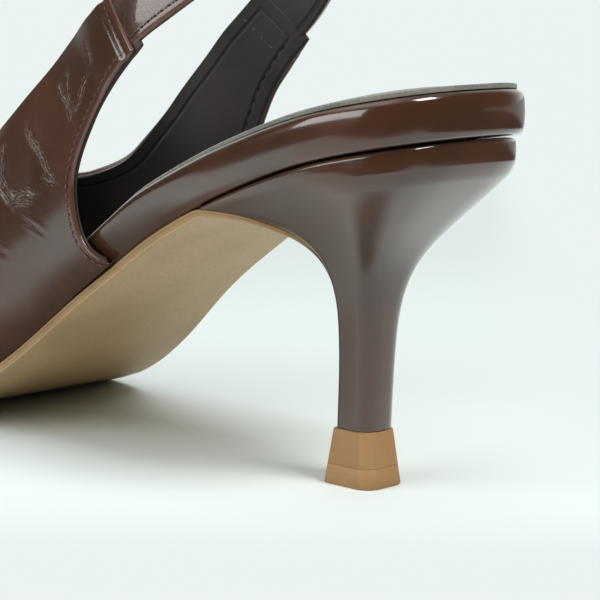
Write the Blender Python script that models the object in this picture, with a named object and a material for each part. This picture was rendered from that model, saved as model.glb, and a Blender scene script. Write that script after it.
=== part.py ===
"""Slingback pump for the right foot, as its maker puts it together.

Frame: metres, +Z up, +X towards the toe, +Y towards the inner (medial) side of the foot.
The origin is on the floor, at the middle of the heel tip's wearing face.
A station is the plan distance forward of the rear end of the heel seat.
"""

import math

import bmesh
import bpy
import numpy as np

# Overall sizes
SHOE_LENGTH = 0.246          # rear of the heel seat to the tip of the toe, in plan
HEEL_SETBACK = 0.0321        # rear of the heel seat to the middle of the heel tip
SEAT_RISE = 0.0768           # underside of the footbed at its rear end, above the floor
SEAT_WIDTH = 0.0540          # footbed across the heel seat
SEAT_ROUND = 0.0300          # length of the round rear end of the seat
SEAT_POWER = 2.7             # squareness of that round end
BALL_WIDTH = 0.0725          # outsole across the ball
TOE_ROUND = 0.0120           # length of the rounded tip of the toe
TOE_SPRING = 0.0050          # toe tip of the sole above the floor
TOE_SWING = 0.0040           # toe tip towards the inner side of the foot
SWING_STATION = 0.1450       # where the foot starts to swing inwards
INSTEP_HEIGHT = 0.0532       # upper at the middle of the throat, above the outsole
JOIN_GAP = 0.0003            # glue line between pieces that meet

# Outsole, with the breast flap that runs down the front of the heel
OUTSOLE_THICKNESS = 0.0021
FLAP_THICKNESS = 0.0005      # at the foot of the flap
BREAST_STATION = 0.0593      # where the outsole leaves the footbed and turns down the heel

# Footbed, a board wrapped in the upper's leather
FOOTBED_THICKNESS = 0.0094
FOOTBED_TOE_THICKNESS = 0.0024
BED_TOE_SETBACK = 0.0025     # toe of the footbed behind the toe of the outsole
FOOTBED_ROLL = 0.0020        # how far the wrapped top edge rolls inwards
SEAT_OVERHANG = 0.0016       # footbed beyond the top of the heel, all round

# Sock that covers the footbed
SOCK_THICKNESS = 0.0010
SOCK_INSET = 0.0016          # bare margin of footbed round the sock at the heel
SOCK_FRONT_INSET = 0.0034    # and from the wings forward
HEEL_PAD_RISE = 0.0016       # crown of the cushion under the heel
HEEL_PAD_CENTRE = 0.0225     # its middle from the rear end of the seat
HEEL_PAD_REACH = 0.0138      # and from there to where it fades out

# Upper
UPPER_WALL = 0.0020          # leather and lining together
TOE_LEAN = 0.0060            # how far the top of the toe leans back
TOE_LEAN_LENGTH = 0.0300     # length of the toe that leans
THROAT_DEPTH = 0.0125        # rounded throat, from the side of the topline to its middle
THROAT_POWER = 1.6           # squareness of its plan
THROAT_EASE = 0.0090         # bend each way from where the throat turns into the topline
WING_OVERHANG = 0.0014       # foot of the wing proud of the foot of the vamp
WING_OVERHANG_LENGTH = 0.0250
SOLE_MARGIN = 0.0003         # outsole beyond the foot of the upper
WING_FOOT_STATION = 0.0872   # where the rear edge of the wing comes up off the sole

# Sling strap
STRAP_WIDTH = 0.0150
STRAP_BACK_WIDTH = 0.0120
STRAP_THICKNESS = 0.0018
STRAP_LAP = 0.0090           # strap tucked inside the wing
STRAP_LAP_SLOPE = 34.7       # degrees above level at which the strap leaves the wing
STRAP_BACK_RISE = 0.0500     # middle of the strap above the seat, behind the ankle
STRAP_BACK_INSET = 0.0070    # strap forward of the rear end of the seat, behind the ankle
STRAP_HALF_SPAN = 0.0175     # middle of the strap from the middle of the shoe, beside the ankle
STRAP_BACK_LEAN = 0.3        # lean of the strap at the back, as a share of its lean in the wing
STRAP_EASE = 0.0400          # length over which it comes upright

# Heel
LIFT_TOP = 0.0121            # top of the stacked lift above the floor
TIP_THICKNESS = 0.0042       # rubber tip under it
TIP_LENGTH = 0.0137
TIP_WIDTH = 0.0124
SHAFT_LENGTH = 0.0103        # heel and flap together, front to back, where they meet the lift
SHAFT_WIDTH = 0.0098
BAND_HEIGHT = 0.0050         # upright band round the top of the heel

# Last sections from heel to toe.
# station: share of SHOE_LENGTH.  rise: share of the seat's rise above the flat of the ball.
# inner, outer: outsole from the middle line, as shares of BALL_WIDTH.
# height: upper above the outsole, as a share of INSTEP_HEIGHT, carried on past the throat
# as the last's own cone.  power: squareness of the section.  swell: how far the sides belly
# out beyond that plain section, as a share of BALL_WIDTH.
LAST_COLUMNS = ("station", "rise", "inner", "outer", "height", "power", "swell")
LAST_SECTIONS = (
    (0.000, 1.0000, 0.352, 0.352, 1.72, 2.7, 0.054),
    (0.102, 0.9286, 0.350, 0.350, 1.72, 2.7, 0.054),
    (0.203, 0.8208, 0.343, 0.343, 1.71, 2.7, 0.054),
    (0.236, 0.7776, 0.337, 0.337, 1.70, 2.7, 0.054),
    (0.305, 0.6712, 0.326, 0.326, 1.68, 2.7, 0.054),
    (0.354, 0.5700, 0.326, 0.330, 1.66, 2.7, 0.054),
    (0.406, 0.4582, 0.334, 0.348, 1.62, 2.8, 0.052),
    (0.508, 0.2062, 0.385, 0.412, 1.46, 2.9, 0.043),
    (0.557, 0.1105, 0.428, 0.448, 1.19, 2.9, 0.036),
    (0.610, 0.0364, 0.474, 0.482, 1.01, 2.7, 0.029),
    (0.655, 0.0000, 0.499, 0.497, 0.87, 2.5, 0.022),
    (0.732, 0.0000, 0.492, 0.484, 0.68, 2.3, 0.014),
    (0.793, 0.0000, 0.450, 0.438, 0.56, 2.2, 0.012),
    (0.854, 0.0000, 0.377, 0.366, 0.45, 2.15, 0.012),
    (0.915, 0.0000, 0.280, 0.272, 0.345, 2.1, 0.010),
    (0.960, 0.0000, 0.194, 0.188, 0.27, 2.1, 0.007),
    (1.000, 0.0000, 0.105, 0.102, 0.19, 2.1, 0.004),
)

# Footbed edge against the edge of the outsole.  top and foot: shares of BALL_WIDTH to add to
# the outsole's half width at the top and foot of the footbed's side.  thickness: share of
# the way from the toe's thickness to the seat's.
BED_COLUMNS = ("station", "top", "foot", "thickness")
BED_SECTIONS = (
    (0.000, 0.0205, 0.0205, 1.00),
    (0.203, 0.0200, 0.0150, 1.00),
    (0.305, 0.0260, -0.0030, 1.00),
    (0.354, 0.0260, -0.0120, 0.98),
    (0.406, 0.0130, -0.0300, 0.90),
    (0.508, -0.0350, -0.0360, 0.55),
    (0.655, -0.0360, -0.0360, 0.15),
    (1.000, -0.0360, -0.0360, 0.00),
)

# Edges of one wing, seen from the side.  ahead: forward of the foot of the wing, as a share
# of WING_REACH.  rise: above the outsole at the foot of the wing, as a share of WING_RISE.
# The first row is where the topline rounds into the throat.
WING_REACH = 0.0628
WING_RISE = 0.0582
EDGE_COLUMNS = ("ahead", "rise")
REAR_EDGE = (
    (0.000, 0.000),
    (0.095, 0.062),
    (0.142, 0.180),
    (0.154, 0.296),
    (0.118, 0.433),
    (0.076, 0.519),
    (0.027, 0.605),
    (-0.038, 0.691),
    (-0.118, 0.777),
    (-0.193, 0.845),
)
TOPLINE = (
    (0.850, 0.266),
    (0.773, 0.335),
    (0.675, 0.433),
    (0.578, 0.519),
    (0.486, 0.605),
    (0.389, 0.691),
    (0.295, 0.777),
    (0.207, 0.863),
    (0.105, 0.948),
    (-0.002, 1.038),
)
TOPLINE_SHARE_AT_WING_FOOT = 0.10

# Rings of the heel from the lift up.  front and rear: forward of the heel's axis, as shares
# of HEEL_SETBACK.  front_rise and rear_rise: shares of SEAT_RISE.  front_width and width:
# half widths of the breast and of the ring, as shares of SEAT_WIDTH.  seat: how far the ring
# takes the outline and bend of the seat, 0 to 1.
RING_COLUMNS = ("front", "front_rise", "rear", "rear_rise", "front_width", "width", "seat")
HEEL_RINGS = (
    (0.115, 0.330, -0.181, 0.330, 0.089, 0.094, 0.0),
    (0.103, 0.470, -0.209, 0.490, 0.101, 0.109, 0.0),
    (0.085, 0.565, -0.280, 0.610, 0.138, 0.153, 0.05),
    (0.094, 0.632, -0.395, 0.682, 0.186, 0.203, 0.15),
    (0.125, 0.676, -0.515, 0.735, 0.241, 0.259, 0.35),
    (0.200, 0.719, -0.668, 0.796, 0.313, 0.329, 0.60),
    (0.290, 0.745, -0.805, 0.850, 0.377, 0.391, 0.80),
    (0.440, 0.765, -0.905, 0.893, 0.422, 0.437, 0.95),
)
# Middle line of the strap from the ankle to the back.  ahead: share of the way from the back
# to the wing.  climb: share of the rise from the wing to the back.  span: from the middle of
# the shoe, as a share of STRAP_HALF_SPAN.
STRAP_COLUMNS = ("ahead", "climb", "span")
STRAP_KNOTS = (
    (0.72, 0.39, 1.00),
    (0.45, 0.69, 0.84),
    (0.22, 0.88, 0.67),
    (0.07, 0.97, 0.42),
    (0.00, 1.00, 0.00),
)
RING_STEPS = (0.0, 0.04, 0.10, 0.18, 0.28, 0.40, 0.51, 0.61, 0.70, 0.78, 0.85, 0.91, 0.955, 0.985, 1.0)

MM = 0.001


def column(rows, columns, name):
    """One named column of a table, as an array."""
    return np.array([row[columns.index(name)] for row in rows], float)


def curve(x, y, at):
    """Smooth curve through a table that never overshoots a flat run (monotone cubic)."""
    x, y, at = np.asarray(x, float), np.asarray(y, float), np.asarray(at, float)
    step = np.diff(x)
    rate = np.diff(y) / step
    before, after = rate[:-1], rate[1:]
    weight_a = 2 * step[1:] + step[:-1]
    weight_b = step[1:] + 2 * step[:-1]
    with np.errstate(divide="ignore", invalid="ignore"):
        mean = (weight_a + weight_b) / (weight_a / before + weight_b / after)
    inner = np.where(before * after > 0, mean, 0.0)
    slope = np.concatenate([[rate[0]], inner, [rate[-1]]])
    i = np.clip(np.searchsorted(x, at) - 1, 0, len(step) - 1)
    t = (at - x[i]) / step[i]
    t = np.clip(t, 0.0, 1.0)
    return (
        y[i] * (1 + 2 * t) * (1 - t) ** 2
        + slope[i] * step[i] * t * (1 - t) ** 2
        + y[i + 1] * t**2 * (3 - 2 * t)
        + slope[i + 1] * step[i] * t**2 * (t - 1)
    )


def last(name, station):
    """One column of the last's sections at the given stations."""
    x = column(LAST_SECTIONS, LAST_COLUMNS, "station") * SHOE_LENGTH
    return curve(x, column(LAST_SECTIONS, LAST_COLUMNS, name), station)


def bed(name, station):
    """One column of the footbed's sections at the given stations."""
    x = column(BED_SECTIONS, BED_COLUMNS, "station") * SHOE_LENGTH
    return curve(x, column(BED_SECTIONS, BED_COLUMNS, name), station)


def under_line(station):
    """Height of the line that the footbed, the heel and the outsole meet on."""
    station = np.asarray(station, float)
    base = OUTSOLE_THICKNESS + JOIN_GAP
    flat_end = 0.732 * SHOE_LENGTH
    spring = np.clip((station - flat_end) / (SHOE_LENGTH - flat_end), 0, 1) ** 1.6
    return base + last("rise", station) * (SEAT_RISE - base) + spring * TOE_SPRING


def slope_of(line, station):
    """Slope of a line at a station."""
    d = 0.25 * MM
    return (line(station + d) - line(station - d)) / (2 * d)


def side_name(side):
    return "inner" if side > 0 else "outer"


def toe_cap(station):
    """Rounds a half width to nothing at the tip of the toe."""
    t = np.clip((station - (SHOE_LENGTH - TOE_ROUND)) / TOE_ROUND, 0, 1)
    return np.sqrt(np.maximum(1 - t**2, 0))


def seat_cap(station):
    """Rounds a half width to nothing at the rear end of the seat."""
    t = np.clip(1 - station / SEAT_ROUND, 0, 1)
    return np.maximum(1 - t**SEAT_POWER, 0) ** (1 / SEAT_POWER)


def sole_half(station, side):
    """Outsole from the middle line to its edge."""
    return last(side_name(side), station) * BALL_WIDTH * toe_cap(station)


def bed_half(station, side, level):
    """Footbed from the middle line to its edge, at level 0, its foot, to 1, its top."""
    offset = bed("foot", station) + (bed("top", station) - bed("foot", station)) * level
    width = (last(side_name(side), station) + offset) * BALL_WIDTH
    seat = width * SEAT_WIDTH / (2 * BALL_WIDTH * (0.352 + 0.0205))
    blend = np.clip((station - SEAT_ROUND) / SEAT_ROUND, 0, 1)
    width = seat + (width - seat) * blend**2 * (3 - 2 * blend)
    room = upper_half(station, side, level * bed_thickness(station)) - 1.04 * UPPER_WALL - JOIN_GAP
    inside = np.clip((station - WING_FOOT_STATION) / 0.006 + 1.5, 0, 1)
    width = width + np.minimum(room - width, 0) * inside
    return width * seat_cap(station) * toe_cap(station + BED_TOE_SETBACK)


def bed_thickness(station):
    """Footbed's thickness, measured upright."""
    t = FOOTBED_TOE_THICKNESS + bed("thickness", station) * (FOOTBED_THICKNESS - FOOTBED_TOE_THICKNESS)
    return t * np.sqrt(1 + slope_of(under_line, station) ** 2)


def bed_top(station):
    return under_line(station) + bed_thickness(station)


def x_of(station):
    return np.asarray(station, float) - HEEL_SETBACK


def station_of(x):
    return np.asarray(x, float) + HEEL_SETBACK


def make_material(name, colour, roughness, coat=0.0):
    material = bpy.data.materials.new(name)
    material.use_nodes = True
    shader = material.node_tree.nodes["Principled BSDF"]
    shader.inputs["Base Color"].default_value = (*colour, 1.0)
    shader.inputs["Roughness"].default_value = roughness
    shader.inputs["Coat Weight"].default_value = coat
    material.diffuse_color = (*colour, 1.0)
    return material


def add_object(name, verts, faces, material, sharp=math.radians(40)):
    """A named object from points and faces, swung with the foot, its faces turned outwards."""
    verts = np.array(verts, float)
    forward = np.clip((station_of(verts[:, 0]) - SWING_STATION) / (SHOE_LENGTH - SWING_STATION), 0, 1)
    verts[:, 1] += TOE_SWING * forward**2
    mesh = bpy.data.meshes.new(name)
    mesh.from_pydata([tuple(map(float, v)) for v in verts], [], faces)
    work = bmesh.new()
    work.from_mesh(mesh)
    bmesh.ops.remove_doubles(work, verts=work.verts, dist=0.01 * MM)
    bmesh.ops.dissolve_degenerate(work, edges=work.edges, dist=0.005 * MM)
    bmesh.ops.recalc_face_normals(work, faces=work.faces)
    work.to_mesh(mesh)
    work.free()
    mesh.materials.append(material)
    mesh.shade_smooth()
    mesh.set_sharp_from_angle(angle=sharp)
    obj = bpy.data.objects.new(name, mesh)
    bpy.context.scene.collection.objects.link(obj)
    return obj


def ladder_solid(name, rings, material, sharp=math.radians(40)):
    """Closed solid from rings of paired points, one above the other.

    Each ring is (left, right), two rows of points that run from one end to the other.
    The two rows are joined by rungs on the lowest and the highest ring.
    """
    count = len(rings[0][0])
    verts, faces = [], []
    for left, right in rings:
        verts.extend(left)
        verts.extend(right)

    def at(ring, side, i):
        return ring * 2 * count + side * count + i

    for k in range(len(rings) - 1):
        for i in range(count - 1):
            faces.append((at(k, 0, i), at(k, 0, i + 1), at(k + 1, 0, i + 1), at(k + 1, 0, i)))
            faces.append((at(k, 1, i + 1), at(k, 1, i), at(k + 1, 1, i), at(k + 1, 1, i + 1)))
        for i in (0, count - 1):
            faces.append((at(k, 0, i), at(k + 1, 0, i), at(k + 1, 1, i), at(k, 1, i)))
    for k in (0, len(rings) - 1):
        for i in range(count - 1):
            faces.append((at(k, 0, i), at(k, 0, i + 1), at(k, 1, i + 1), at(k, 1, i)))
    return add_object(name, verts, faces, material, sharp)


def outline_rows(stations, half, inset):
    """Inner and outer edge points of a plan outline, pulled in by an inset along its normal.

    half(station, side) gives the half width.  inset is one length or one for each station.
    """
    rows = []
    inset = np.broadcast_to(np.asarray(inset, float), len(stations))
    for side in (1, -1):
        x = x_of(stations)
        y = half(stations, side)
        points = np.stack([x, y], 1)
        tangent = np.gradient(points, axis=0)
        for end in (0, -1):
            if y[end] < 0.01 * MM:
                tangent[end] = (0.0, 1.0 if end == 0 else -1.0)
        tangent /= np.linalg.norm(tangent, axis=1)[:, None]
        normal = np.stack([-tangent[:, 1], tangent[:, 0]], 1)
        moved = points + normal * -inset[:, None]
        moved[:, 1] = np.maximum(moved[:, 1], 0.0)
        rows.append(np.stack([moved[:, 0], side * moved[:, 1]], 1))
    return rows


def shoe_stations(start, end, count, crowd_start, crowd_end):
    """Stations from start to end, crowded towards the round ends."""
    t = np.linspace(0, 1, count)
    if crowd_start and crowd_end:
        t = 0.5 * (1 - np.cos(math.pi * t)) * 0.75 + 0.25 * t
    elif crowd_end:
        t = np.sin(0.5 * math.pi * t) * 0.8 + 0.2 * t
    return start + (end - start) * t


def build_footbed(material):
    """The wrapped board: its outline at each level, with the edges rolled in."""
    stations = shoe_stations(0.0, SHOE_LENGTH - BED_TOE_SETBACK, 46, True, True)
    levels = ((0.0, 0.70), (0.045, 0.18), (0.15, 0.0), (0.76, 0.0), (0.92, 0.28), (1.0, 1.0))
    rings = []
    for level, roll in levels:
        share = bed("thickness", stations) * 0.7 + 0.3
        rows = outline_rows(stations, lambda s, side: bed_half(s, side, level), roll * FOOTBED_ROLL * share)
        ring = []
        for row in rows:
            station = station_of(row[:, 0])
            z = under_line(station) + level * bed_thickness(station)
            ring.append(np.column_stack([row, z]))
        rings.append(ring)
    return ladder_solid("footbed", rings, material)


def sock_half(station, side):
    """Sock's half width: the footbed's, less its roll and margin."""
    return bed_half(station, side, 1.0)


def build_sock(material):
    """Thin cover over the footbed, with a low cushion under the heel."""
    stations = shoe_stations(0.0, SHOE_LENGTH - BED_TOE_SETBACK, 38, True, True)
    forward = np.clip(stations / WING_FOOT_STATION, 0, 1)
    inset = SOCK_INSET + (SOCK_FRONT_INSET - SOCK_INSET) * forward**2
    inner, outer = outline_rows(stations, sock_half, inset)
    across = np.linspace(0, 1, 7)
    top, bottom = [], []
    for a, b in zip(inner, outer):
        x = a[0] + (b[0] - a[0]) * across
        y = a[1] + (b[1] - a[1]) * across
        station = station_of(x)
        crown = (1 - (2 * across - 1) ** 2) * np.exp(-(((station - HEEL_PAD_CENTRE) / HEEL_PAD_REACH) ** 4))
        base = bed_top(station) + JOIN_GAP
        bottom.append(np.stack([x, y, base], 1))
        top.append(np.stack([x, y, base + SOCK_THICKNESS + HEEL_PAD_RISE * crown], 1))
    return sheet_solid("sock", np.array(top), np.array(bottom), material)


def sheet_solid(name, top, bottom, material, sharp=math.radians(40)):
    """Closed solid between two grids of points of the same shape."""
    rows, cols = top.shape[:2]
    verts = np.concatenate([top.reshape(-1, 3), bottom.reshape(-1, 3)])
    half = rows * cols
    faces = []
    for i in range(rows - 1):
        for j in range(cols - 1):
            a, b, c, d = i * cols + j, i * cols + j + 1, (i + 1) * cols + j + 1, (i + 1) * cols + j
            faces.append((a, b, c, d))
            faces.append((half + d, half + c, half + b, half + a))
    rim = [i * cols for i in range(rows)] + [(rows - 1) * cols + j for j in range(1, cols)]
    rim += [i * cols + cols - 1 for i in range(rows - 2, -1, -1)] + [j for j in range(cols - 2, 0, -1)]
    for a, b in zip(rim, rim[1:] + rim[:1]):
        faces.append((a, b, half + b, half + a))
    return add_object(name, verts, faces, material, sharp)


def ring_points(row):
    """Breast corner, rear end and widths of one ring of the heel, in metres."""
    values = dict(zip(RING_COLUMNS, row))
    return {
        "front": (values["front"] * HEEL_SETBACK, values["front_rise"] * SEAT_RISE),
        "rear": (values["rear"] * HEEL_SETBACK, values["rear_rise"] * SEAT_RISE),
        "front_width": values["front_width"] * SEAT_WIDTH,
        "width": values["width"] * SEAT_WIDTH,
        "seat": values["seat"],
    }


def heel_rings():
    """All rings of the heel: the foot of the shaft, the table's rings, the band and the top."""
    foot_z = LIFT_TOP + JOIN_GAP
    front_foot = SHAFT_LENGTH / 2 - FLAP_THICKNESS - JOIN_GAP
    rings = [
        {
            "front": (front_foot, foot_z),
            "rear": (-SHAFT_LENGTH / 2, foot_z),
            "front_width": SHAFT_WIDTH / 2 - 0.1 * MM,
            "width": SHAFT_WIDTH / 2,
            "seat": 0.0,
        }
    ]
    rings.extend(ring_points(row) for row in HEEL_RINGS)
    breast_x = float(x_of(BREAST_STATION))
    seat_front = float(under_line(BREAST_STATION)) - JOIN_GAP
    half = float(bed_half(np.array([BREAST_STATION]), 1, 0.0)[0]) - SEAT_OVERHANG * 0.6
    widest = SEAT_WIDTH / 2 - SEAT_OVERHANG
    for back, drop, pull in ((6.5, BAND_HEIGHT, 0.25), (1.6, 0.9 * MM, 0.0), (0.6, 0.0, 0.9)):
        x = breast_x - back * MM
        rear_x = float(x_of(SEAT_OVERHANG)) + pull * MM
        seat_here = float(under_line(station_of(x))) - JOIN_GAP
        seat_rear = float(under_line(station_of(rear_x))) - JOIN_GAP
        front_drop = min(drop, 0.62 * (seat_here - seat_front))
        rings.append(
            {
                "front": (x, seat_here - front_drop),
                "rear": (rear_x, seat_rear - drop),
                "front_width": half - pull * 0.5 * MM,
                "width": widest - pull * MM,
                "seat": 1.0,
            }
        )
    return rings


def shaft_outline(u):
    """Half width of the shaft's section against its widest: soft front corners, round rear."""
    front = 1 - 0.16 * np.clip(1 - u / 0.10, 0, 1) ** 2
    rear = np.maximum(1 - np.clip((u - 0.55) / 0.45, 0, 1) ** 2.6, 0) ** (1 / 2.6)
    return front * rear


def seat_outline(u, front_share):
    """Half width of the seat's section against its widest, from the breast to the rear."""
    rear_start = 1 - (SEAT_ROUND - SEAT_OVERHANG) / (BREAST_STATION - SEAT_OVERHANG)
    side = front_share + (1 - front_share) * np.sin(0.5 * math.pi * np.clip(u / rear_start, 0, 1))
    t = np.clip((u - rear_start) / (1 - rear_start), 0, 1)
    return side * np.maximum(1 - t**SEAT_POWER, 0) ** (1 / SEAT_POWER)


def build_heel(material):
    """The wrapped heel block, lofted from the lift to the seat."""
    u = np.array(RING_STEPS)
    solid = []
    for ring in heel_rings():
        (front_x, front_z), (rear_x, rear_z) = ring["front"], ring["rear"]
        x = front_x + (rear_x - front_x) * u
        seat = under_line(station_of(x)) - JOIN_GAP
        chord = seat[0] + (seat[-1] - seat[0]) * u
        z = front_z + (rear_z - front_z) * u + ring["seat"] * (seat - chord)
        share = ring["front_width"] / ring["width"]
        blend = ring["seat"]
        outline = (1 - blend) * shaft_outline(u) + blend * seat_outline(u, share)
        y = outline * ring["width"]
        y[0] = min(y[0], ring["front_width"])
        solid.append((np.stack([x, y, z], 1), np.stack([x, -y, z], 1)))
    return ladder_solid("heel", solid, material, math.radians(50))


def sole_profile():
    """Upper face of the outsole from the toe to the breast and down the front of the heel.

    Returns x, z and the inner and outer half widths along it.
    """
    stations = shoe_stations(BREAST_STATION, SHOE_LENGTH, 44, False, True)[::-1]
    x = list(x_of(stations))
    z = list(under_line(stations) - JOIN_GAP)
    inner = list(sole_half(stations, 1))
    outer = list(sole_half(stations, -1))
    breast = [r for r in heel_rings()[::-1] if r["front"][0] < x[-1] - 2.0 * MM]
    front = np.array([r["front"] for r in breast])
    along = np.gradient(front, axis=0)
    along /= np.linalg.norm(along, axis=1)[:, None]
    normal = np.stack([-along[:, 1], along[:, 0]], 1)
    moved = front + normal * JOIN_GAP
    x.extend(moved[:, 0])
    z.extend(moved[:, 1])
    widths = [r["front_width"] for r in breast]
    inner.extend(widths)
    outer.extend(widths)
    return np.array(x), np.array(z), np.array(inner), np.array(outer)


def build_outsole(material):
    """Thin sole that turns down the breast of the heel and thins out towards the lift."""
    x, z, inner, outer = sole_profile()
    points = np.stack([x, z], 1)
    along = np.gradient(points, axis=0)
    along /= np.linalg.norm(along, axis=1)[:, None]
    normal = np.stack([-along[:, 1], along[:, 0]], 1)
    length = np.concatenate([[0], np.cumsum(np.linalg.norm(np.diff(points, axis=0), axis=1))])
    bend = length[np.argmin(np.abs(x - x_of(BREAST_STATION)))]
    down = np.clip((length - bend) / (length[-1] - bend), 0, 1)
    thickness = OUTSOLE_THICKNESS + (FLAP_THICKNESS - OUTSOLE_THICKNESS) * down**0.4
    level = x > float(x_of(0.60 * SHOE_LENGTH))
    normal[level] = (0.0, -1.0)
    low = points + normal * thickness[:, None]
    soft = 0.25 * MM
    rings = []
    for share, inset in ((0.0, soft), (0.18, 0.0), (0.80, 0.0), (1.0, soft)):
        place = points + (low - points) * share
        pull = np.minimum(inset, inner * 0.5)
        rings.append(
            (
                np.stack([place[:, 0], inner - pull, place[:, 1]], 1),
                np.stack([place[:, 0], -(outer - pull), place[:, 1]], 1),
            )
        )
    return ladder_solid("outsole", rings, material)


def rounded_outline(length, width, rear_round, front_round):
    """Plan outline of the heel tip, round at the rear corners, crisp at the breast."""
    points = []
    corners = (
        (-length / 2 + rear_round, -width / 2 + rear_round, rear_round, math.pi),
        (length / 2 - front_round, -width / 2 + front_round, front_round, 1.5 * math.pi),
        (length / 2 - front_round, width / 2 - front_round, front_round, 0.0),
        (-length / 2 + rear_round, width / 2 - rear_round, rear_round, 0.5 * math.pi),
    )
    for cx, cy, radius, start in corners:
        for step in range(6):
            angle = start + 0.5 * math.pi * step / 5
            points.append((cx + radius * math.cos(angle), cy + radius * math.sin(angle)))
    return points


def lift_section(height):
    """Outline of the flared lift and tip at a height above the floor."""
    share = height / LIFT_TOP
    length = TIP_LENGTH + (SHAFT_LENGTH - TIP_LENGTH) * share
    width = TIP_WIDTH + (SHAFT_WIDTH - TIP_WIDTH) * share
    return rounded_outline(length, width, 0.27 * length, 0.07 * length)


def build_slab(name, heights, insets, material):
    """Solid of the flared heel tip between two heights, with softened rims."""
    verts, faces = [], []
    for height, inset in zip(heights, insets):
        section = lift_section(height)
        shrink = 1 - 2 * inset / TIP_LENGTH
        verts.extend((x * shrink, y * shrink, height) for x, y in section)
    count = len(verts) // len(heights)
    for k in range(len(heights) - 1):
        for i in range(count):
            j = (i + 1) % count
            faces.append((k * count + i, k * count + j, (k + 1) * count + j, (k + 1) * count + i))
    faces.append(tuple(range(count - 1, -1, -1)))
    faces.append(tuple((len(heights) - 1) * count + i for i in range(count)))
    return add_object(name, verts, faces, material)


def build_heel_tip(tip_material, lift_material):
    soft = 0.3 * MM
    build_slab("heel_tip", (0.0, soft, TIP_THICKNESS), (soft, 0.0, 0.0), tip_material)
    low = TIP_THICKNESS + JOIN_GAP
    build_slab("heel_lift", (low, LIFT_TOP - soft, LIFT_TOP), (0.0, 0.0, 0.5 * soft), lift_material)


def upper_height(station):
    return last("height", station) * INSTEP_HEIGHT


def upper_half(station, side, height):
    """Half width of the upper's outer face at a height above its foot."""
    climb = np.clip(height / upper_height(station), 0, 1)
    angle = np.arcsin(climb ** (last("power", station) / 2))
    return np.abs(upper_point(station, angle, side)[..., 1])


def foot_half(station, side):
    """Foot of the upper from the middle line, just inside the edge of the outsole."""
    wing = np.clip((WING_FOOT_STATION - station) / WING_OVERHANG_LENGTH + 1, 0, 1)
    ease = WING_OVERHANG * wing**2 * (3 - 2 * wing)
    return np.maximum(sole_half(station, side) - SOLE_MARGIN * toe_cap(station) + ease, 0)


def upper_point(station, angle, side):
    """Outer face of the upper at a station; angle 0 is its foot and 90 degrees its ridge."""
    power = last("power", station)
    reach = np.maximum(np.cos(angle), 0) ** (2 / power)
    climb = np.maximum(np.sin(angle), 0) ** (2 / power)
    swell = last("swell", station) * BALL_WIDTH * np.sin(math.pi * np.sqrt(np.clip(climb, 0, 1)))
    y = foot_half(station, side) * reach + np.maximum(swell, 0) * toe_cap(station)
    z = under_line(station) + upper_height(station) * climb
    toe = np.clip((station - SHOE_LENGTH) / TOE_LEAN_LENGTH + 1, 0, 1)
    x = x_of(station) - TOE_LEAN * toe**2 * climb**2
    return np.stack([x, side * y, z], -1)


def angle_at(station, z):
    """Angle on the upper's section at which it reaches a height."""
    climb = np.clip((z - under_line(station)) / upper_height(station), 0, 1)
    return np.arcsin(np.clip(climb ** (last("power", station) / 2), 0, 1))


def along_edge(rows, shares):
    """Stations and heights at shares of the length of a side-view edge of the wing."""
    base = float(under_line(WING_FOOT_STATION))
    ahead = WING_FOOT_STATION + column(rows, EDGE_COLUMNS, "ahead") * WING_REACH
    rise = base + column(rows, EDGE_COLUMNS, "rise") * WING_RISE
    length = np.concatenate([[0], np.cumsum(np.hypot(np.diff(ahead), np.diff(rise)))])
    length /= length[-1]
    return curve(length, ahead, shares), curve(length, rise, shares)


def angle_across(station, half, side):
    """Angle on the upper's section at which it is a given half width wide, above its belly."""
    low, high = math.radians(40), 0.5 * math.pi
    for _ in range(40):
        middle = 0.5 * (low + high)
        if abs(upper_point(np.array([station]), np.array([middle]), side)[0, 1]) > half:
            low = middle
        else:
            high = middle
    return 0.5 * (low + high)


def throat_rows(side, count):
    """Stations and angles from the middle of the throat to the side of the topline."""
    corner_s, corner_z = along_edge(TOPLINE, np.array([0.0]))
    corner = upper_point(corner_s, angle_at(corner_s, corner_z), side)
    turn = 0.5 * math.pi * np.linspace(0, 1, count + 1)[1:]
    half = abs(corner[0, 1]) * np.sin(turn) ** (2 / THROAT_POWER)
    station = corner_s[0] + THROAT_DEPTH * np.maximum(np.cos(turn), 0) ** (2 / THROAT_POWER)
    return [(float(a), angle_across(float(a), float(b), side)) for a, b in zip(station, half)]


def ease_throat(rows, middle, corner, side):
    """Rounds the corner where the throat turns into the topline.

    From THROAT_EASE before the corner to as far past it, the edge follows the parabola that
    has the corner as its control point.  Rows count from the toe; middle is the throat's.
    """
    foot, foot_angle, station, angle = np.array(rows).T
    edge = upper_point(station[middle:], angle[middle:], side)
    run = np.concatenate([[0], np.cumsum(np.linalg.norm(np.diff(edge, axis=0), axis=1))])
    turn = run[corner - middle]
    t = np.clip((run - turn) / (2 * THROAT_EASE) + 0.5, 0, 1)
    for value in (station, angle):
        start, end = np.interp((turn - THROAT_EASE, turn + THROAT_EASE), run, value[middle:])
        bend = start * (1 - t) ** 2 + 2 * value[corner] * t * (1 - t) + end * t**2
        value[middle:] = np.where((t > 0) & (t < 1), bend, value[middle:])
    return np.stack([foot, foot_angle, station, angle], 1)


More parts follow.
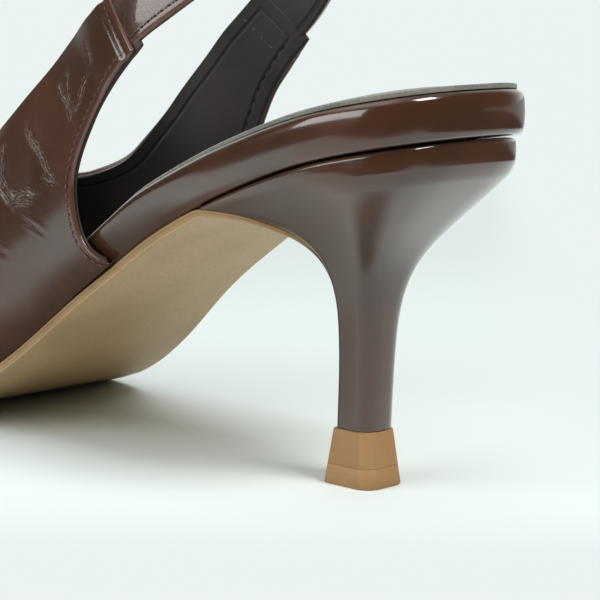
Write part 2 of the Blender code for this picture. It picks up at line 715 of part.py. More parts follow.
def upper_rows(side, vamp_rows=18, throat_count=8, quarter_rows=8, wing_rows=16, across=12):
    """Grid of points for one half of the upper, from the toe to the end of the wing.

    Each row climbs from the foot or the wing's rear edge to the ridge or the topline.
    """
    throat = float(along_edge(TOPLINE, np.array([0.0]))[0][0]) + THROAT_DEPTH
    foot_at_throat = throat + 0.016
    foot_at_corner = throat - 0.012
    t = np.linspace(0, 1, vamp_rows) ** 1.7
    foot = SHOE_LENGTH + (foot_at_throat - SHOE_LENGTH) * t
    ridge = SHOE_LENGTH + (throat - SHOE_LENGTH) * t
    rows = [(f, 0.0, r, 0.5 * math.pi) for f, r in zip(foot, ridge)]
    foot = np.linspace(foot_at_throat, foot_at_corner, throat_count + 1)[1:]
    rows += [(f, 0.0, s, angle) for f, (s, angle) in zip(foot, throat_rows(side, throat_count))]
    share = np.linspace(0, 1, quarter_rows + 1)[1:]
    top_s, top_z = along_edge(TOPLINE, share * TOPLINE_SHARE_AT_WING_FOOT)
    foot = foot_at_corner + (WING_FOOT_STATION - foot_at_corner) * share
    rows += [(f, 0.0, s, float(angle_at(s, z))) for f, s, z in zip(foot, top_s, top_z)]
    share = np.linspace(0, 1, wing_rows + 1)[1:]
    top_s, top_z = along_edge(TOPLINE, TOPLINE_SHARE_AT_WING_FOOT + share * (1 - TOPLINE_SHARE_AT_WING_FOOT))
    rear_s, rear_z = along_edge(REAR_EDGE, share)
    rows += [
        (f, float(angle_at(f, g)), s, float(angle_at(s, z)))
        for f, g, s, z in zip(rear_s, rear_z, top_s, top_z)
    ]
    rows = ease_throat(rows, vamp_rows - 1, vamp_rows - 1 + throat_count, side)
    step = np.linspace(0, 1, across + 1)
    grid = []
    for k, (foot_s, foot_angle, top_station, top_angle) in enumerate(rows):
        station = foot_s + (top_station - foot_s) * step
        angle = foot_angle + (top_angle - foot_angle) * step
        power = last("power", station)
        height = upper_height(station)
        low = height[0] * math.sin(foot_angle) ** (2 / power[0])
        high = height[-1] * math.sin(top_angle) ** (2 / power[-1])
        level = np.arcsin(np.clip((low + (high - low) * step) / height, 0, 1) ** (power / 2))
        even = min(max((k - vamp_rows + 1) / (throat_count + quarter_rows), 0.0), 1.0)
        grid.append(upper_point(station, angle + even * (level - angle), side))
    return np.array(grid)


def build_upper(material):
    """Closed vamp and two wings as one wall, open at the throat, at the back and underneath."""
    mesh = bmesh.new()
    for side in (1, -1):
        grid = upper_rows(side)
        rows, cols = grid.shape[:2]
        points = [[mesh.verts.new(tuple(map(float, p))) for p in row] for row in grid]
        for i in range(rows - 1):
            for j in range(cols - 1):
                ring = [points[i][j], points[i][j + 1], points[i + 1][j + 1], points[i + 1][j]]
                mesh.faces.new(ring if side > 0 else ring[::-1])
    bmesh.ops.remove_doubles(mesh, verts=mesh.verts, dist=0.02 * MM)
    bmesh.ops.dissolve_degenerate(mesh, edges=mesh.edges, dist=0.01 * MM)
    bmesh.ops.recalc_face_normals(mesh, faces=mesh.faces)
    mesh.verts.ensure_lookup_table()
    mesh.verts.index_update()
    outer = np.array([v.co for v in mesh.verts])
    normal = np.array([v.normal for v in mesh.verts])
    if normal[np.argmax(outer[:, 0]), 0] < 0:
        normal = -normal
    inner = outer - normal * UPPER_WALL
    foot = outer[:, 2] < under_line(station_of(outer[:, 0])) + 0.05 * MM
    inner[foot, 2] = under_line(station_of(inner[foot, 0]))
    count = len(outer)
    faces = [[v.index for v in f.verts] for f in mesh.faces]
    rim = [(e.verts[0].index, e.verts[1].index) for e in mesh.edges if e.is_boundary]
    mesh.free()
    solid = list(faces)
    solid += [[count + i for i in reversed(f)] for f in faces]
    solid += [[a, b, count + b, count + a] for a, b in rim]
    return add_object("upper", np.concatenate([outer, inner]), solid, material)


def wing_half(place):
    """Half width of the wing's outer face at a point (x, z) of its side view."""
    station = np.array([float(station_of(place[0]))])
    return float(upper_point(station, angle_at(station, place[1]), 1)[0, 1])


def strap_path(count=64):
    """Middle line of the strap from the inner wing round the ankle to the outer wing.

    Returns the line and the slope at which the strap leans in where it lies in the wing.
    """
    slope = math.radians(STRAP_LAP_SLOPE)
    along = np.array([-math.cos(slope), math.sin(slope)])
    half_across = 0.5 * STRAP_WIDTH * np.array([along[1], -along[0]])
    low_s, low_z = along_edge(REAR_EDGE, np.array([1.0]))
    joint = np.array([float(x_of(low_s[0])), float(low_z[0])]) + half_across
    out = joint + along * 0.5 * STRAP_LAP
    inside = UPPER_WALL * 1.06 + JOIN_GAP + 0.5 * STRAP_THICKNESS
    knots = []
    for reach in (-1.0, -0.5, 0.0):
        place = joint + along * STRAP_LAP * reach
        low, high = wing_half(place - half_across), wing_half(place + half_across)
        knots.append((place[0], place[1], 0.5 * (low + high) - inside))
    lean = (low - high) / STRAP_WIDTH
    back_x = float(x_of(STRAP_BACK_INSET))
    back_z = float(bed_top(np.array([0.0]))[0]) + STRAP_BACK_RISE
    for row in STRAP_KNOTS:
        values = dict(zip(STRAP_COLUMNS, row))
        knots.append(
            (
                back_x + values["ahead"] * (out[0] - back_x),
                out[1] + values["climb"] * (back_z - out[1]),
                values["span"] * STRAP_HALF_SPAN,
            )
        )
    half = np.array(knots)[:, [0, 2, 1]]
    whole = np.concatenate([half, half[-2::-1] * (1, -1, 1)])
    length = np.concatenate([[0], np.cumsum(np.linalg.norm(np.diff(whole, axis=0), axis=1))])
    fine = natural_curve(length, whole, np.linspace(0, length[-1], count * 4))
    fine_length = np.concatenate([[0], np.cumsum(np.linalg.norm(np.diff(fine, axis=0), axis=1))])
    even = np.linspace(0, fine_length[-1], count)
    return np.stack([np.interp(even, fine_length, fine[:, k]) for k in range(3)], 1), lean


def natural_curve(x, y, at):
    """Smooth curve through points in space (natural cubic spline)."""
    n = len(x)
    step = np.diff(x)
    system = np.eye(n)
    target = np.zeros((n, y.shape[1]))
    for i in range(1, n - 1):
        system[i, i - 1 : i + 2] = (step[i - 1], 2 * (step[i - 1] + step[i]), step[i])
        target[i] = 6 * ((y[i + 1] - y[i]) / step[i] - (y[i] - y[i - 1]) / step[i - 1])
    bend = np.linalg.solve(system, target)
    i = np.clip(np.searchsorted(x, at) - 1, 0, n - 2)
    left, right, span = (x[i + 1] - at)[:, None], (at - x[i])[:, None], step[i][:, None]
    return (
        bend[i] * left**3 / (6 * span)
        + bend[i + 1] * right**3 / (6 * span)
        + (y[i] / span - bend[i] * span / 6) * left
        + (y[i + 1] / span - bend[i + 1] * span / 6) * right
    )


def build_strap(material):
    """Flat band with softened edges, carried round the ankle."""
    path, lean = strap_path()
    tangent = np.gradient(path, axis=0)
    tangent /= np.linalg.norm(tangent, axis=1)[:, None]
    t = np.linspace(-1, 1, len(path))
    out = np.stack([-tangent[:, 1], tangent[:, 0], np.zeros(len(path))], 1)
    out *= -1 / np.linalg.norm(out, axis=1)[:, None]
    step = np.linalg.norm(np.diff(path, axis=0), axis=1)
    length = np.concatenate([[0], np.cumsum(step)])
    from_end = np.minimum(length, length[-1] - length)
    upright = np.clip((from_end - STRAP_LAP) / STRAP_EASE, 0, 1)
    upright = upright**2 * (3 - 2 * upright) * (1 - STRAP_BACK_LEAN)
    out[:, 2] = lean * (1 - upright)
    out -= tangent * np.sum(out * tangent, axis=1)[:, None]
    out /= np.linalg.norm(out, axis=1)[:, None]
    up = np.cross(tangent, out)
    up *= np.sign(up[:, 2])[:, None]
    width = STRAP_BACK_WIDTH + (STRAP_WIDTH - STRAP_BACK_WIDTH) * t**2
    half = STRAP_THICKNESS / 2
    profile = ((-0.5, -0.35), (-0.44, -1.0), (0.44, -1.0), (0.5, -0.35), (0.5, 0.35), (0.44, 1.0), (-0.44, 1.0), (-0.5, 0.35))
    verts, faces = [], []
    for share, depth in profile:
        verts.extend(path + up * (share * width)[:, None] + out * (depth * half))
    count, sides = len(path), len(profile)
    for k in range(sides):
        n = (k + 1) % sides
        for i in range(count - 1):
            faces.append((k * count + i, k * count + i + 1, n * count + i + 1, n * count + i))
    faces.append(tuple(k * count for k in range(sides)))
    faces.append(tuple(k * count + count - 1 for k in range(sides - 1, -1, -1)))
    return add_object("sling_strap", verts, faces, material)


def main():
    for old in list(bpy.data.objects):
        bpy.data.objects.remove(old)
    brown = make_material("brown_gloss_leather", (0.085, 0.034, 0.022), 0.22, 0.6)
    sole_tan = make_material("tan_sole_leather", (0.46, 0.36, 0.23), 0.5)
    tip_tan = make_material("tan_rubber", (0.45, 0.28, 0.14), 0.55)
    lift_tan = make_material("stacked_lift", (0.42, 0.24, 0.12), 0.45)
    dark = make_material("dark_lining_leather", (0.030, 0.026, 0.025), 0.5)
    build_heel_tip(tip_tan, lift_tan)
    build_heel(brown)
    build_outsole(sole_tan)
    build_footbed(brown)
    build_sock(dark)
    build_upper(brown)
    build_strap(brown)


if __name__ == "__main__":
    main()
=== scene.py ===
"""Looks of the slingback pump: fine surfaces, leather, stitching, light and camera.

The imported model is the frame.  Every new surface is worked out from the last's own sections,
which are repeated here in the same words as in the part's source, and laid over its solid.
Lengths are metres, +Z up, +X towards the toe, +Y towards the inner side of the foot.
"""

import math

import bmesh
import bpy
import numpy as np
from mathutils import Matrix, Vector


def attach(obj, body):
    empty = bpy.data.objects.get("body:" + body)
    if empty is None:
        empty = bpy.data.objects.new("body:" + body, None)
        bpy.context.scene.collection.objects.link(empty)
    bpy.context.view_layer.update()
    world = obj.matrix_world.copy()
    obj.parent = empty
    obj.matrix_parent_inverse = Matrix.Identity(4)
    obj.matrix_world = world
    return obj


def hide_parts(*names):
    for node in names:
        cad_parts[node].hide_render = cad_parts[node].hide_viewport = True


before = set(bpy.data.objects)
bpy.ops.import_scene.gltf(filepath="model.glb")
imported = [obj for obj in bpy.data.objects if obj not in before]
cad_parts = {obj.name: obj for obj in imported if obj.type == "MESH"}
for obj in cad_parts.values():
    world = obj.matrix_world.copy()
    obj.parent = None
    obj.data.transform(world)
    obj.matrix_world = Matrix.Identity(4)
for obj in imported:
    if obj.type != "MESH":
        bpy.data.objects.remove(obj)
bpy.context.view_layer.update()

bl_info = {
    "name": "Slingback pump looks",
    "version": (1, 0, 0),
    "blender": (4, 5, 0),
    "location": "3D View > Sidebar > Pump",
    "description": "Builds the fine surfaces, materials, light and camera of a slingback pump",
    "category": "Object",
}

MM = 0.001

# Sizes of the solids that the fine surfaces follow
SHOE_LENGTH = 0.246
HEEL_SETBACK = 0.0321
SEAT_RISE = 0.0768
SEAT_WIDTH = 0.0540
SEAT_ROUND = 0.0300
SEAT_POWER = 2.7
BALL_WIDTH = 0.0725
TOE_ROUND = 0.0120
TOE_SPRING = 0.0050
TOE_SWING = 0.0040
SWING_STATION = 0.1450
INSTEP_HEIGHT = 0.0532
JOIN_GAP = 0.0003
OUTSOLE_THICKNESS = 0.0021
FLAP_THICKNESS = 0.0005
BREAST_STATION = 0.0593
FOOTBED_THICKNESS = 0.0094
FOOTBED_TOE_THICKNESS = 0.0024
BED_TOE_SETBACK = 0.0025
FOOTBED_ROLL = 0.0020
SEAT_OVERHANG = 0.0016
SOCK_THICKNESS = 0.0010
SOCK_INSET = 0.0016
SOCK_FRONT_INSET = 0.0034
HEEL_PAD_RISE = 0.0016
HEEL_PAD_CENTRE = 0.0225
HEEL_PAD_REACH = 0.0138
UPPER_WALL = 0.0020
TOE_LEAN = 0.0060
TOE_LEAN_LENGTH = 0.0300
THROAT_DEPTH = 0.0125
THROAT_POWER = 1.6
THROAT_EASE = 0.0090
WING_OVERHANG = 0.0014
WING_OVERHANG_LENGTH = 0.0250
SOLE_MARGIN = 0.0003
WING_FOOT_STATION = 0.0872
STRAP_WIDTH = 0.0150
STRAP_BACK_WIDTH = 0.0120
STRAP_THICKNESS = 0.0018
STRAP_LAP = 0.0090
STRAP_LAP_SLOPE = 34.7
STRAP_BACK_RISE = 0.0500
STRAP_BACK_INSET = 0.0070
STRAP_HALF_SPAN = 0.0175
STRAP_BACK_LEAN = 0.3
STRAP_EASE = 0.0400
LIFT_TOP = 0.0121
TIP_THICKNESS = 0.0042
TIP_LENGTH = 0.0137
TIP_WIDTH = 0.0124
SHAFT_LENGTH = 0.0103
SHAFT_WIDTH = 0.0098
BAND_HEIGHT = 0.0050

# Shares of the length where the tread ends and the toe spring starts, and ahead of which the
# outsole's thickness is measured straight down
FLAT_SOLE_END = 0.732
LEVEL_SOLE_START = 0.60

# The last, in shares of the shoe's length, the seat's rise, the ball's width and the instep
LAST_COLUMNS = ("station", "rise", "inner", "outer", "height", "power", "swell")
LAST_SECTIONS = (
    (0.000, 1.0000, 0.352, 0.352, 1.72, 2.7, 0.054),
    (0.102, 0.9286, 0.350, 0.350, 1.72, 2.7, 0.054),
    (0.203, 0.8208, 0.343, 0.343, 1.71, 2.7, 0.054),
    (0.236, 0.7776, 0.337, 0.337, 1.70, 2.7, 0.054),
    (0.305, 0.6712, 0.326, 0.326, 1.68, 2.7, 0.054),
    (0.354, 0.5700, 0.326, 0.330, 1.66, 2.7, 0.054),
    (0.406, 0.4582, 0.334, 0.348, 1.62, 2.8, 0.052),
    (0.508, 0.2062, 0.385, 0.412, 1.46, 2.9, 0.043),
    (0.557, 0.1105, 0.428, 0.448, 1.19, 2.9, 0.036),
    (0.610, 0.0364, 0.474, 0.482, 1.01, 2.7, 0.029),
    (0.655, 0.0000, 0.499, 0.497, 0.87, 2.5, 0.022),
    (0.732, 0.0000, 0.492, 0.484, 0.68, 2.3, 0.014),
    (0.793, 0.0000, 0.450, 0.438, 0.56, 2.2, 0.012),
    (0.854, 0.0000, 0.377, 0.366, 0.45, 2.15, 0.012),
    (0.915, 0.0000, 0.280, 0.272, 0.345, 2.1, 0.010),
    (0.960, 0.0000, 0.194, 0.188, 0.27, 2.1, 0.007),
    (1.000, 0.0000, 0.105, 0.102, 0.19, 2.1, 0.004),
)
# The footbed past the last's half width, and its thickness between toe and heel
BED_COLUMNS = ("station", "top", "foot", "thickness")
BED_SECTIONS = (
    (0.000, 0.0205, 0.0205, 1.00),
    (0.203, 0.0200, 0.0150, 1.00),
    (0.305, 0.0260, -0.0030, 1.00),
    (0.354, 0.0260, -0.0120, 0.98),
    (0.406, 0.0130, -0.0300, 0.90),
    (0.508, -0.0350, -0.0360, 0.55),
    (0.655, -0.0360, -0.0360, 0.15),
    (1.000, -0.0360, -0.0360, 0.00),
)
WING_REACH = 0.0628
WING_RISE = 0.0582
EDGE_COLUMNS = ("ahead", "rise")
REAR_EDGE = (
    (0.000, 0.000),
    (0.095, 0.062),
    (0.142, 0.180),
    (0.154, 0.296),
    (0.118, 0.433),
    (0.076, 0.519),
    (0.027, 0.605),
    (-0.038, 0.691),
    (-0.118, 0.777),
    (-0.193, 0.845),
)
TOPLINE = (
    (0.850, 0.266),
    (0.773, 0.335),
    (0.675, 0.433),
    (0.578, 0.519),
    (0.486, 0.605),
    (0.389, 0.691),
    (0.295, 0.777),
    (0.207, 0.863),
    (0.105, 0.948),
    (-0.002, 1.038),
)
TOPLINE_SHARE_AT_WING_FOOT = 0.10
# Heel sections: front and its height, rear and its height, half width at the front and at the
# widest, and how far the ring follows the seat.
HEEL_RINGS = (
    (0.115, 0.330, -0.181, 0.330, 0.089, 0.094, 0.0),
    (0.103, 0.470, -0.209, 0.490, 0.101, 0.109, 0.0),
    (0.085, 0.565, -0.280, 0.610, 0.138, 0.153, 0.05),
    (0.094, 0.632, -0.395, 0.682, 0.186, 0.203, 0.15),
    (0.125, 0.676, -0.515, 0.735, 0.241, 0.259, 0.35),
    (0.200, 0.719, -0.668, 0.796, 0.313, 0.329, 0.60),
    (0.290, 0.745, -0.805, 0.850, 0.377, 0.391, 0.80),
    (0.440, 0.765, -0.905, 0.893, 0.422, 0.437, 0.95),
)
# Rolled lip of the heel under the footbed: millimetres back from the breast, drop below the
# seat, and millimetres in from the outline.
HEEL_LIP = (
    (6.5, BAND_HEIGHT, 0.25),
    (3.2, 2.6 * MM, 0.03),
    (1.6, 1.1 * MM, 0.0),
    (1.2, 0.6 * MM, 0.12),
    (0.9, 0.22 * MM, 0.36),
    (0.6, 0.0, 0.9),
)
# Rolled edge of the footbed from its foot to its top: level, and pull inwards as a share of
# the roll.
FOOTBED_EDGE = (
    (0.0, 0.80),
    (0.012, 0.42),
    (0.03, 0.24),
    (0.06, 0.12),
    (0.11, 0.03),
    (0.2, -0.02),
    (0.3, -0.05),
    (0.4, -0.07),
    (0.5, -0.07),
    (0.6, -0.05),
    (0.7, -0.02),
    (0.76, 0.01),
    (0.82, 0.06),
    (0.87, 0.13),
    (0.91, 0.23),
    (0.945, 0.37),
    (0.97, 0.55),
    (0.988, 0.78),
    (1.0, 1.1),
    (1.0, 2.6),
)
# Cut edge of the outsole from its top to its underside: share of the thickness, and
# millimetres in from the outline, with one pressed groove.
SOLE_EDGE = (
    (0.0, 0.30),
    (0.05, 0.08),
    (0.15, 0.0),
    (0.30, 0.0),
    (0.37, 0.13),
    (0.44, 0.0),
    (0.52, 0.0),
    (0.85, 0.0),
    (0.94, 0.08),
    (1.0, 0.30),
    (1.0, 1.6),
)
SOLE_UNDERSIDE_RINGS = 3
# Millimetres from the strap's edge to its seam
STRAP_SEAM = 2.0
# Knots round the ankle: shares of the way ahead of the strap's back, of its climb and of its span
STRAP_COLUMNS = ("ahead", "climb", "span")
STRAP_KNOTS = (
    (0.72, 0.39, 1.00),
    (0.45, 0.69, 0.84),
    (0.22, 0.88, 0.67),
    (0.07, 0.97, 0.42),
    (0.00, 1.00, 0.00),
)

# Creases of the inner wing, each a run of points (x, z) in millimetres with its depth and
# half width in millimetres.
WING_CREASES = (
    (0.34, 0.75, ((72.7, 84.6), (70.6, 82.2), (68.2, 80.3), (66.1, 77.7), (64.7, 76.0))),
    (0.20, 0.60, ((69.4, 88.3), (68.7, 85.2), (67.4, 81.7), (66.1, 78.6))),
    (0.18, 0.60, ((62.2, 93.8), (60.2, 91.0), (58.5, 88.2))),
    (0.20, 0.60, ((60.3, 87.7), (61.7, 83.7), (63.2, 79.9), (64.4, 76.9))),
    (0.36, 0.75, ((83.2, 74.6), (80.7, 71.5), (77.9, 69.4), (75.0, 66.8), (72.9, 64.2), (69.4, 62.2))),
    (0.30, 0.75, ((90.9, 70.5), (90.7, 64.7), (89.7, 61.2), (87.1, 59.5))),
    (0.30, 0.70, ((90.5, 60.0), (87.9, 57.8), (85.7, 55.7))),
    (0.30, 0.70, ((87.1, 59.5), (85.6, 58.5), (81.1, 59.1), (76.0, 58.8))),
    (0.26, 0.65, ((85.7, 56.2), (81.2, 56.7), (78.3, 56.5))),
    (0.20, 0.60, ((75.5, 62.7), (70.1, 61.9))),
    (0.13, 0.55, ((83.2, 53.6), (77.7, 51.7), (72.3, 49.2))),
    (0.13, 0.55, ((92.9, 46.9), (89.1, 45.3), (85.4, 43.6))),
    (0.11, 0.55, ((78.9, 48.6), (80.5, 42.9))),
    (0.11, 0.55, ((93.0, 43.3), (87.4, 40.8))),
)
# Softer creases of the outer wing and across the vamp, in the same form.
OUTER_CREASES = (
    (0.26, 0.9, ((80.0, 80.0), (76.0, 75.0), (71.0, 71.0), (67.0, 68.0))),
    (0.22, 0.9, ((92.0, 66.0), (88.0, 60.0), (82.0, 56.0), (76.0, 55.0))),
    (0.16, 0.8, ((64.0, 90.0), (61.0, 85.0), (60.0, 79.0))),
)


def column(rows, columns, name):
    """One named column of a table, as an array."""
    return np.array([row[columns.index(name)] for row in rows], float)


def curve(x, y, at):
    """Monotone cubic through a table: slopes are weighted harmonic means of the chords."""
    x, y, at = np.asarray(x, float), np.asarray(y, float), np.asarray(at, float)
    step = np.diff(x)
    rate = np.diff(y) / step
    before, after = rate[:-1], rate[1:]
    weight_a = 2 * step[1:] + step[:-1]
    weight_b = step[1:] + 2 * step[:-1]
    with np.errstate(divide="ignore", invalid="ignore"):
        mean = (weight_a + weight_b) / (weight_a / before + weight_b / after)
    inner = np.where(before * after > 0, mean, 0.0)
    slope = np.concatenate([[rate[0]], inner, [rate[-1]]])
    i = np.clip(np.searchsorted(x, at) - 1, 0, len(step) - 1)
    t = np.clip((at - x[i]) / step[i], 0.0, 1.0)
    return (
        y[i] * (1 + 2 * t) * (1 - t) ** 2
        + slope[i] * step[i] * t * (1 - t) ** 2
        + y[i + 1] * t**2 * (3 - 2 * t)
        + slope[i + 1] * step[i] * t**2 * (t - 1)
    )


FAIR_STATIONS = np.linspace(0, SHOE_LENGTH, 247)
FAIRED = {}


def fair(rows, columns, name):
    """A table's curve at every millimetre, its bends eased by a short bell-shaped average."""
    key = (columns, name)
    if key not in FAIRED:
        x = column(rows, columns, "station") * SHOE_LENGTH
        raw = curve(x, column(rows, columns, name), FAIR_STATIONS)
        reach = np.arange(-9, 10)
        bell = np.exp(-((reach / 3.2) ** 2))
        bell /= bell.sum()
        ends = np.concatenate([2 * raw[0] - raw[9:0:-1], raw, 2 * raw[-1] - raw[-2:-11:-1]])
        FAIRED[key] = np.convolve(ends, bell, mode="valid")
    return FAIRED[key]


def last(name, station):
    """A value of the last at a station, straight between the millimetres of its faired curve."""
    return np.interp(station, FAIR_STATIONS, fair(LAST_SECTIONS, LAST_COLUMNS, name))


def bed(name, station):
    """A value of the footbed at a station, read in the same way."""
    return np.interp(station, FAIR_STATIONS, fair(BED_SECTIONS, BED_COLUMNS, name))


def under_line(station):
    """Height of the line that the footbed, the heel and the outsole meet on."""
    station = np.asarray(station, float)
    base = OUTSOLE_THICKNESS + JOIN_GAP
    flat_end = FLAT_SOLE_END * SHOE_LENGTH
    spring = np.clip((station - flat_end) / (SHOE_LENGTH - flat_end), 0, 1) ** 1.6
    return base + np.maximum(last("rise", station), 0) * (SEAT_RISE - base) + spring * TOE_SPRING


def slope_of(line, station):
    """Slope of a line, from its heights a millimetre before and after the station."""
    d = 1.0 * MM
    return (line(station + d) - line(station - d)) / (2 * d)


def toe_cap(station):
    """Rounds a half width to nothing at the tip of the toe: a quarter ellipse."""
    t = np.clip((station - (SHOE_LENGTH - TOE_ROUND)) / TOE_ROUND, 0, 1)
    return np.sqrt(np.maximum(1 - t**2, 0))


def seat_cap(station):
    """Rounds a half width to nothing at the rear of the seat: a quarter superellipse."""
    t = np.clip(1 - station / SEAT_ROUND, 0, 1)
    return np.maximum(1 - t**SEAT_POWER, 0) ** (1 / SEAT_POWER)


def sole_half(station, side):
    """Half width of the outsole: the last's own share of the ball's width, rounded at the toe."""
    return last("inner" if side > 0 else "outer", station) * BALL_WIDTH * toe_cap(station)


def upper_height(station):
    """Height of the last's ridge above its foot, a share of the instep's height."""
    return last("height", station) * INSTEP_HEIGHT


def x_of(station):
    """Place along the shoe of a station, which is measured from the rear of the seat."""
    return np.asarray(station, float) - HEEL_SETBACK


def station_of(x):
    """Station of a place along the shoe."""
    return np.asarray(x, float) + HEEL_SETBACK


def upper_half(station, side, height):
    """Half width of the upper's outer face at a height above its foot."""
    climb = np.clip(height / upper_height(station), 0, 1)
    angle = np.arcsin(climb ** (last("power", station) / 2))
    return np.abs(upper_point(station, angle, side)[..., 1])


def bed_thickness(station):
    """Upright thickness of the footbed: its share between toe and heel, divided by the cosine
    of the slope it lies on."""
    t = FOOTBED_TOE_THICKNESS + bed("thickness", station) * (FOOTBED_THICKNESS - FOOTBED_TOE_THICKNESS)
    return t * np.sqrt(1 + slope_of(under_line, station) ** 2)


def bed_top(station):
    """Height of the footbed's top: its foot plus its upright thickness."""
    return under_line(station) + bed_thickness(station)


def bed_half(station, side, level):
    """Footbed from the middle line to its edge, at level 0, its foot, to 1, its top."""
    offset = bed("foot", station) + (bed("top", station) - bed("foot", station)) * level
    width = (last("inner" if side > 0 else "outer", station) + offset) * BALL_WIDTH
    seat = width * SEAT_WIDTH / (2 * BALL_WIDTH * (LAST_SECTIONS[0][2] + BED_SECTIONS[0][1]))
    width = seat + (width - seat) * smooth_step(station, SEAT_ROUND, 2 * SEAT_ROUND)
    room = upper_half(station, side, level * bed_thickness(station)) - 1.04 * UPPER_WALL - JOIN_GAP
    inside = np.clip((station - WING_FOOT_STATION) / 0.006 + 1.5, 0, 1)
    width = width + np.minimum(room - width, 0) * inside
    return width * seat_cap(station) * toe_cap(station + BED_TOE_SETBACK)


def foot_half(station, side):
    """Foot of the upper from the middle line, just inside the edge of the outsole."""
    wing = np.clip((WING_FOOT_STATION - station) / WING_OVERHANG_LENGTH + 1, 0, 1)
    ease = WING_OVERHANG * wing**2 * (3 - 2 * wing)
    return np.maximum(sole_half(station, side) - SOLE_MARGIN * toe_cap(station) + ease, 0)


def upper_point(station, angle, side):
    """Outer face of the upper: a superellipse from its foot, angle 0, to its ridge, 90 degrees,
    with a belly that swells with the sine of the root of the height."""
    power = last("power", station)
    reach = np.maximum(np.cos(angle), 0) ** (2 / power)
    climb = np.maximum(np.sin(angle), 0) ** (2 / power)
    swell = last("swell", station) * BALL_WIDTH * np.sin(math.pi * np.sqrt(np.clip(climb, 0, 1)))
    y = foot_half(station, side) * reach + np.maximum(swell, 0) * toe_cap(station)
    z = under_line(station) + upper_height(station) * climb
    toe = np.clip((station - SHOE_LENGTH) / TOE_LEAN_LENGTH + 1, 0, 1)
    x = x_of(station) - TOE_LEAN * toe**2 * climb**2
    return np.stack([x, side * y, z], -1)


def angle_at(station, z):
    """Angle round the section at a height: the superellipse solved for its angle."""
    climb = np.clip((z - under_line(station)) / upper_height(station), 0, 1)
    return np.arcsin(np.clip(climb ** (last("power", station) / 2), 0, 1))


def natural_curve(x, y, at):
    """Natural cubic spline through points in space."""
    n = len(x)
    step = np.diff(x)
    system = np.eye(n)
    target = np.zeros((n, y.shape[1]))
    for i in range(1, n - 1):
        system[i, i - 1 : i + 2] = (step[i - 1], 2 * (step[i - 1] + step[i]), step[i])
        target[i] = 6 * ((y[i + 1] - y[i]) / step[i] - (y[i] - y[i - 1]) / step[i - 1])
    bend = np.linalg.solve(system, target)
    i = np.clip(np.searchsorted(x, at) - 1, 0, n - 2)
    left, right, span = (x[i + 1] - at)[:, None], (at - x[i])[:, None], step[i][:, None]
    return (
        bend[i] * left**3 / (6 * span)
        + bend[i + 1] * right**3 / (6 * span)
        + (y[i] / span - bend[i] * span / 6) * left
        + (y[i + 1] / span - bend[i + 1] * span / 6) * right
    )


def along_edge(rows, shares):
    """Stations and heights at shares of the length of a side-view edge of the wing."""
    base = float(under_line(WING_FOOT_STATION))
    ahead = WING_FOOT_STATION + column(rows, EDGE_COLUMNS, "ahead") * WING_REACH
    rise = base + column(rows, EDGE_COLUMNS, "rise") * WING_RISE
    length = np.concatenate([[0], np.cumsum(np.hypot(np.diff(ahead), np.diff(rise)))])
    length /= length[-1]
    place = natural_curve(length, np.stack([ahead, rise], 1), np.atleast_1d(shares))
    return place[:, 0], place[:, 1]


def angle_across(station, half, side):
    """Angles at which the section is given half widths wide above its belly, by halving."""
    low = np.full(len(station), math.radians(40))
    high = np.full(len(station), 0.5 * math.pi)
    for _ in range(40):
        middle = 0.5 * (low + high)
        wide = np.abs(upper_point(station, middle, side)[:, 1]) > half
        low = np.where(wide, middle, low)
        high = np.where(wide, high, middle)
    return 0.5 * (low + high)


def throat_rows(side, count):
    """Stations and angles from the middle of the throat to the side of the topline."""
    corner_s, corner_z = along_edge(TOPLINE, np.array([0.0]))
    corner = upper_point(corner_s, angle_at(corner_s, corner_z), side)
    turn = 0.5 * math.pi * np.linspace(0, 1, count + 1)[1:]
    half = abs(corner[0, 1]) * np.sin(turn) ** (2 / THROAT_POWER)
    station = corner_s[0] + THROAT_DEPTH * np.maximum(np.cos(turn), 0) ** (2 / THROAT_POWER)
    return station, angle_across(station, half, side)


def ease_throat(station, angle, middle, corner, side):
    """Rounds the corner where the throat turns into the topline with a parabola whose control
    point is the corner, from THROAT_EASE before it to as far past it."""
    edge = upper_point(station[middle:], angle[middle:], side)
    run = run_length(edge)
    turn = run[corner - middle]
    t = np.clip((run - turn) / (2 * THROAT_EASE) + 0.5, 0, 1)
    eased = []
    for value in (station, angle):
        start, end = np.interp((turn - THROAT_EASE, turn + THROAT_EASE), run, value[middle:])
        bend = start * (1 - t) ** 2 + 2 * value[corner] * t * (1 - t) + end * t**2
        eased.append(np.append(value[:middle], np.where((t > 0) & (t < 1), bend, value[middle:])))
    return eased


WING_ROWS = 84


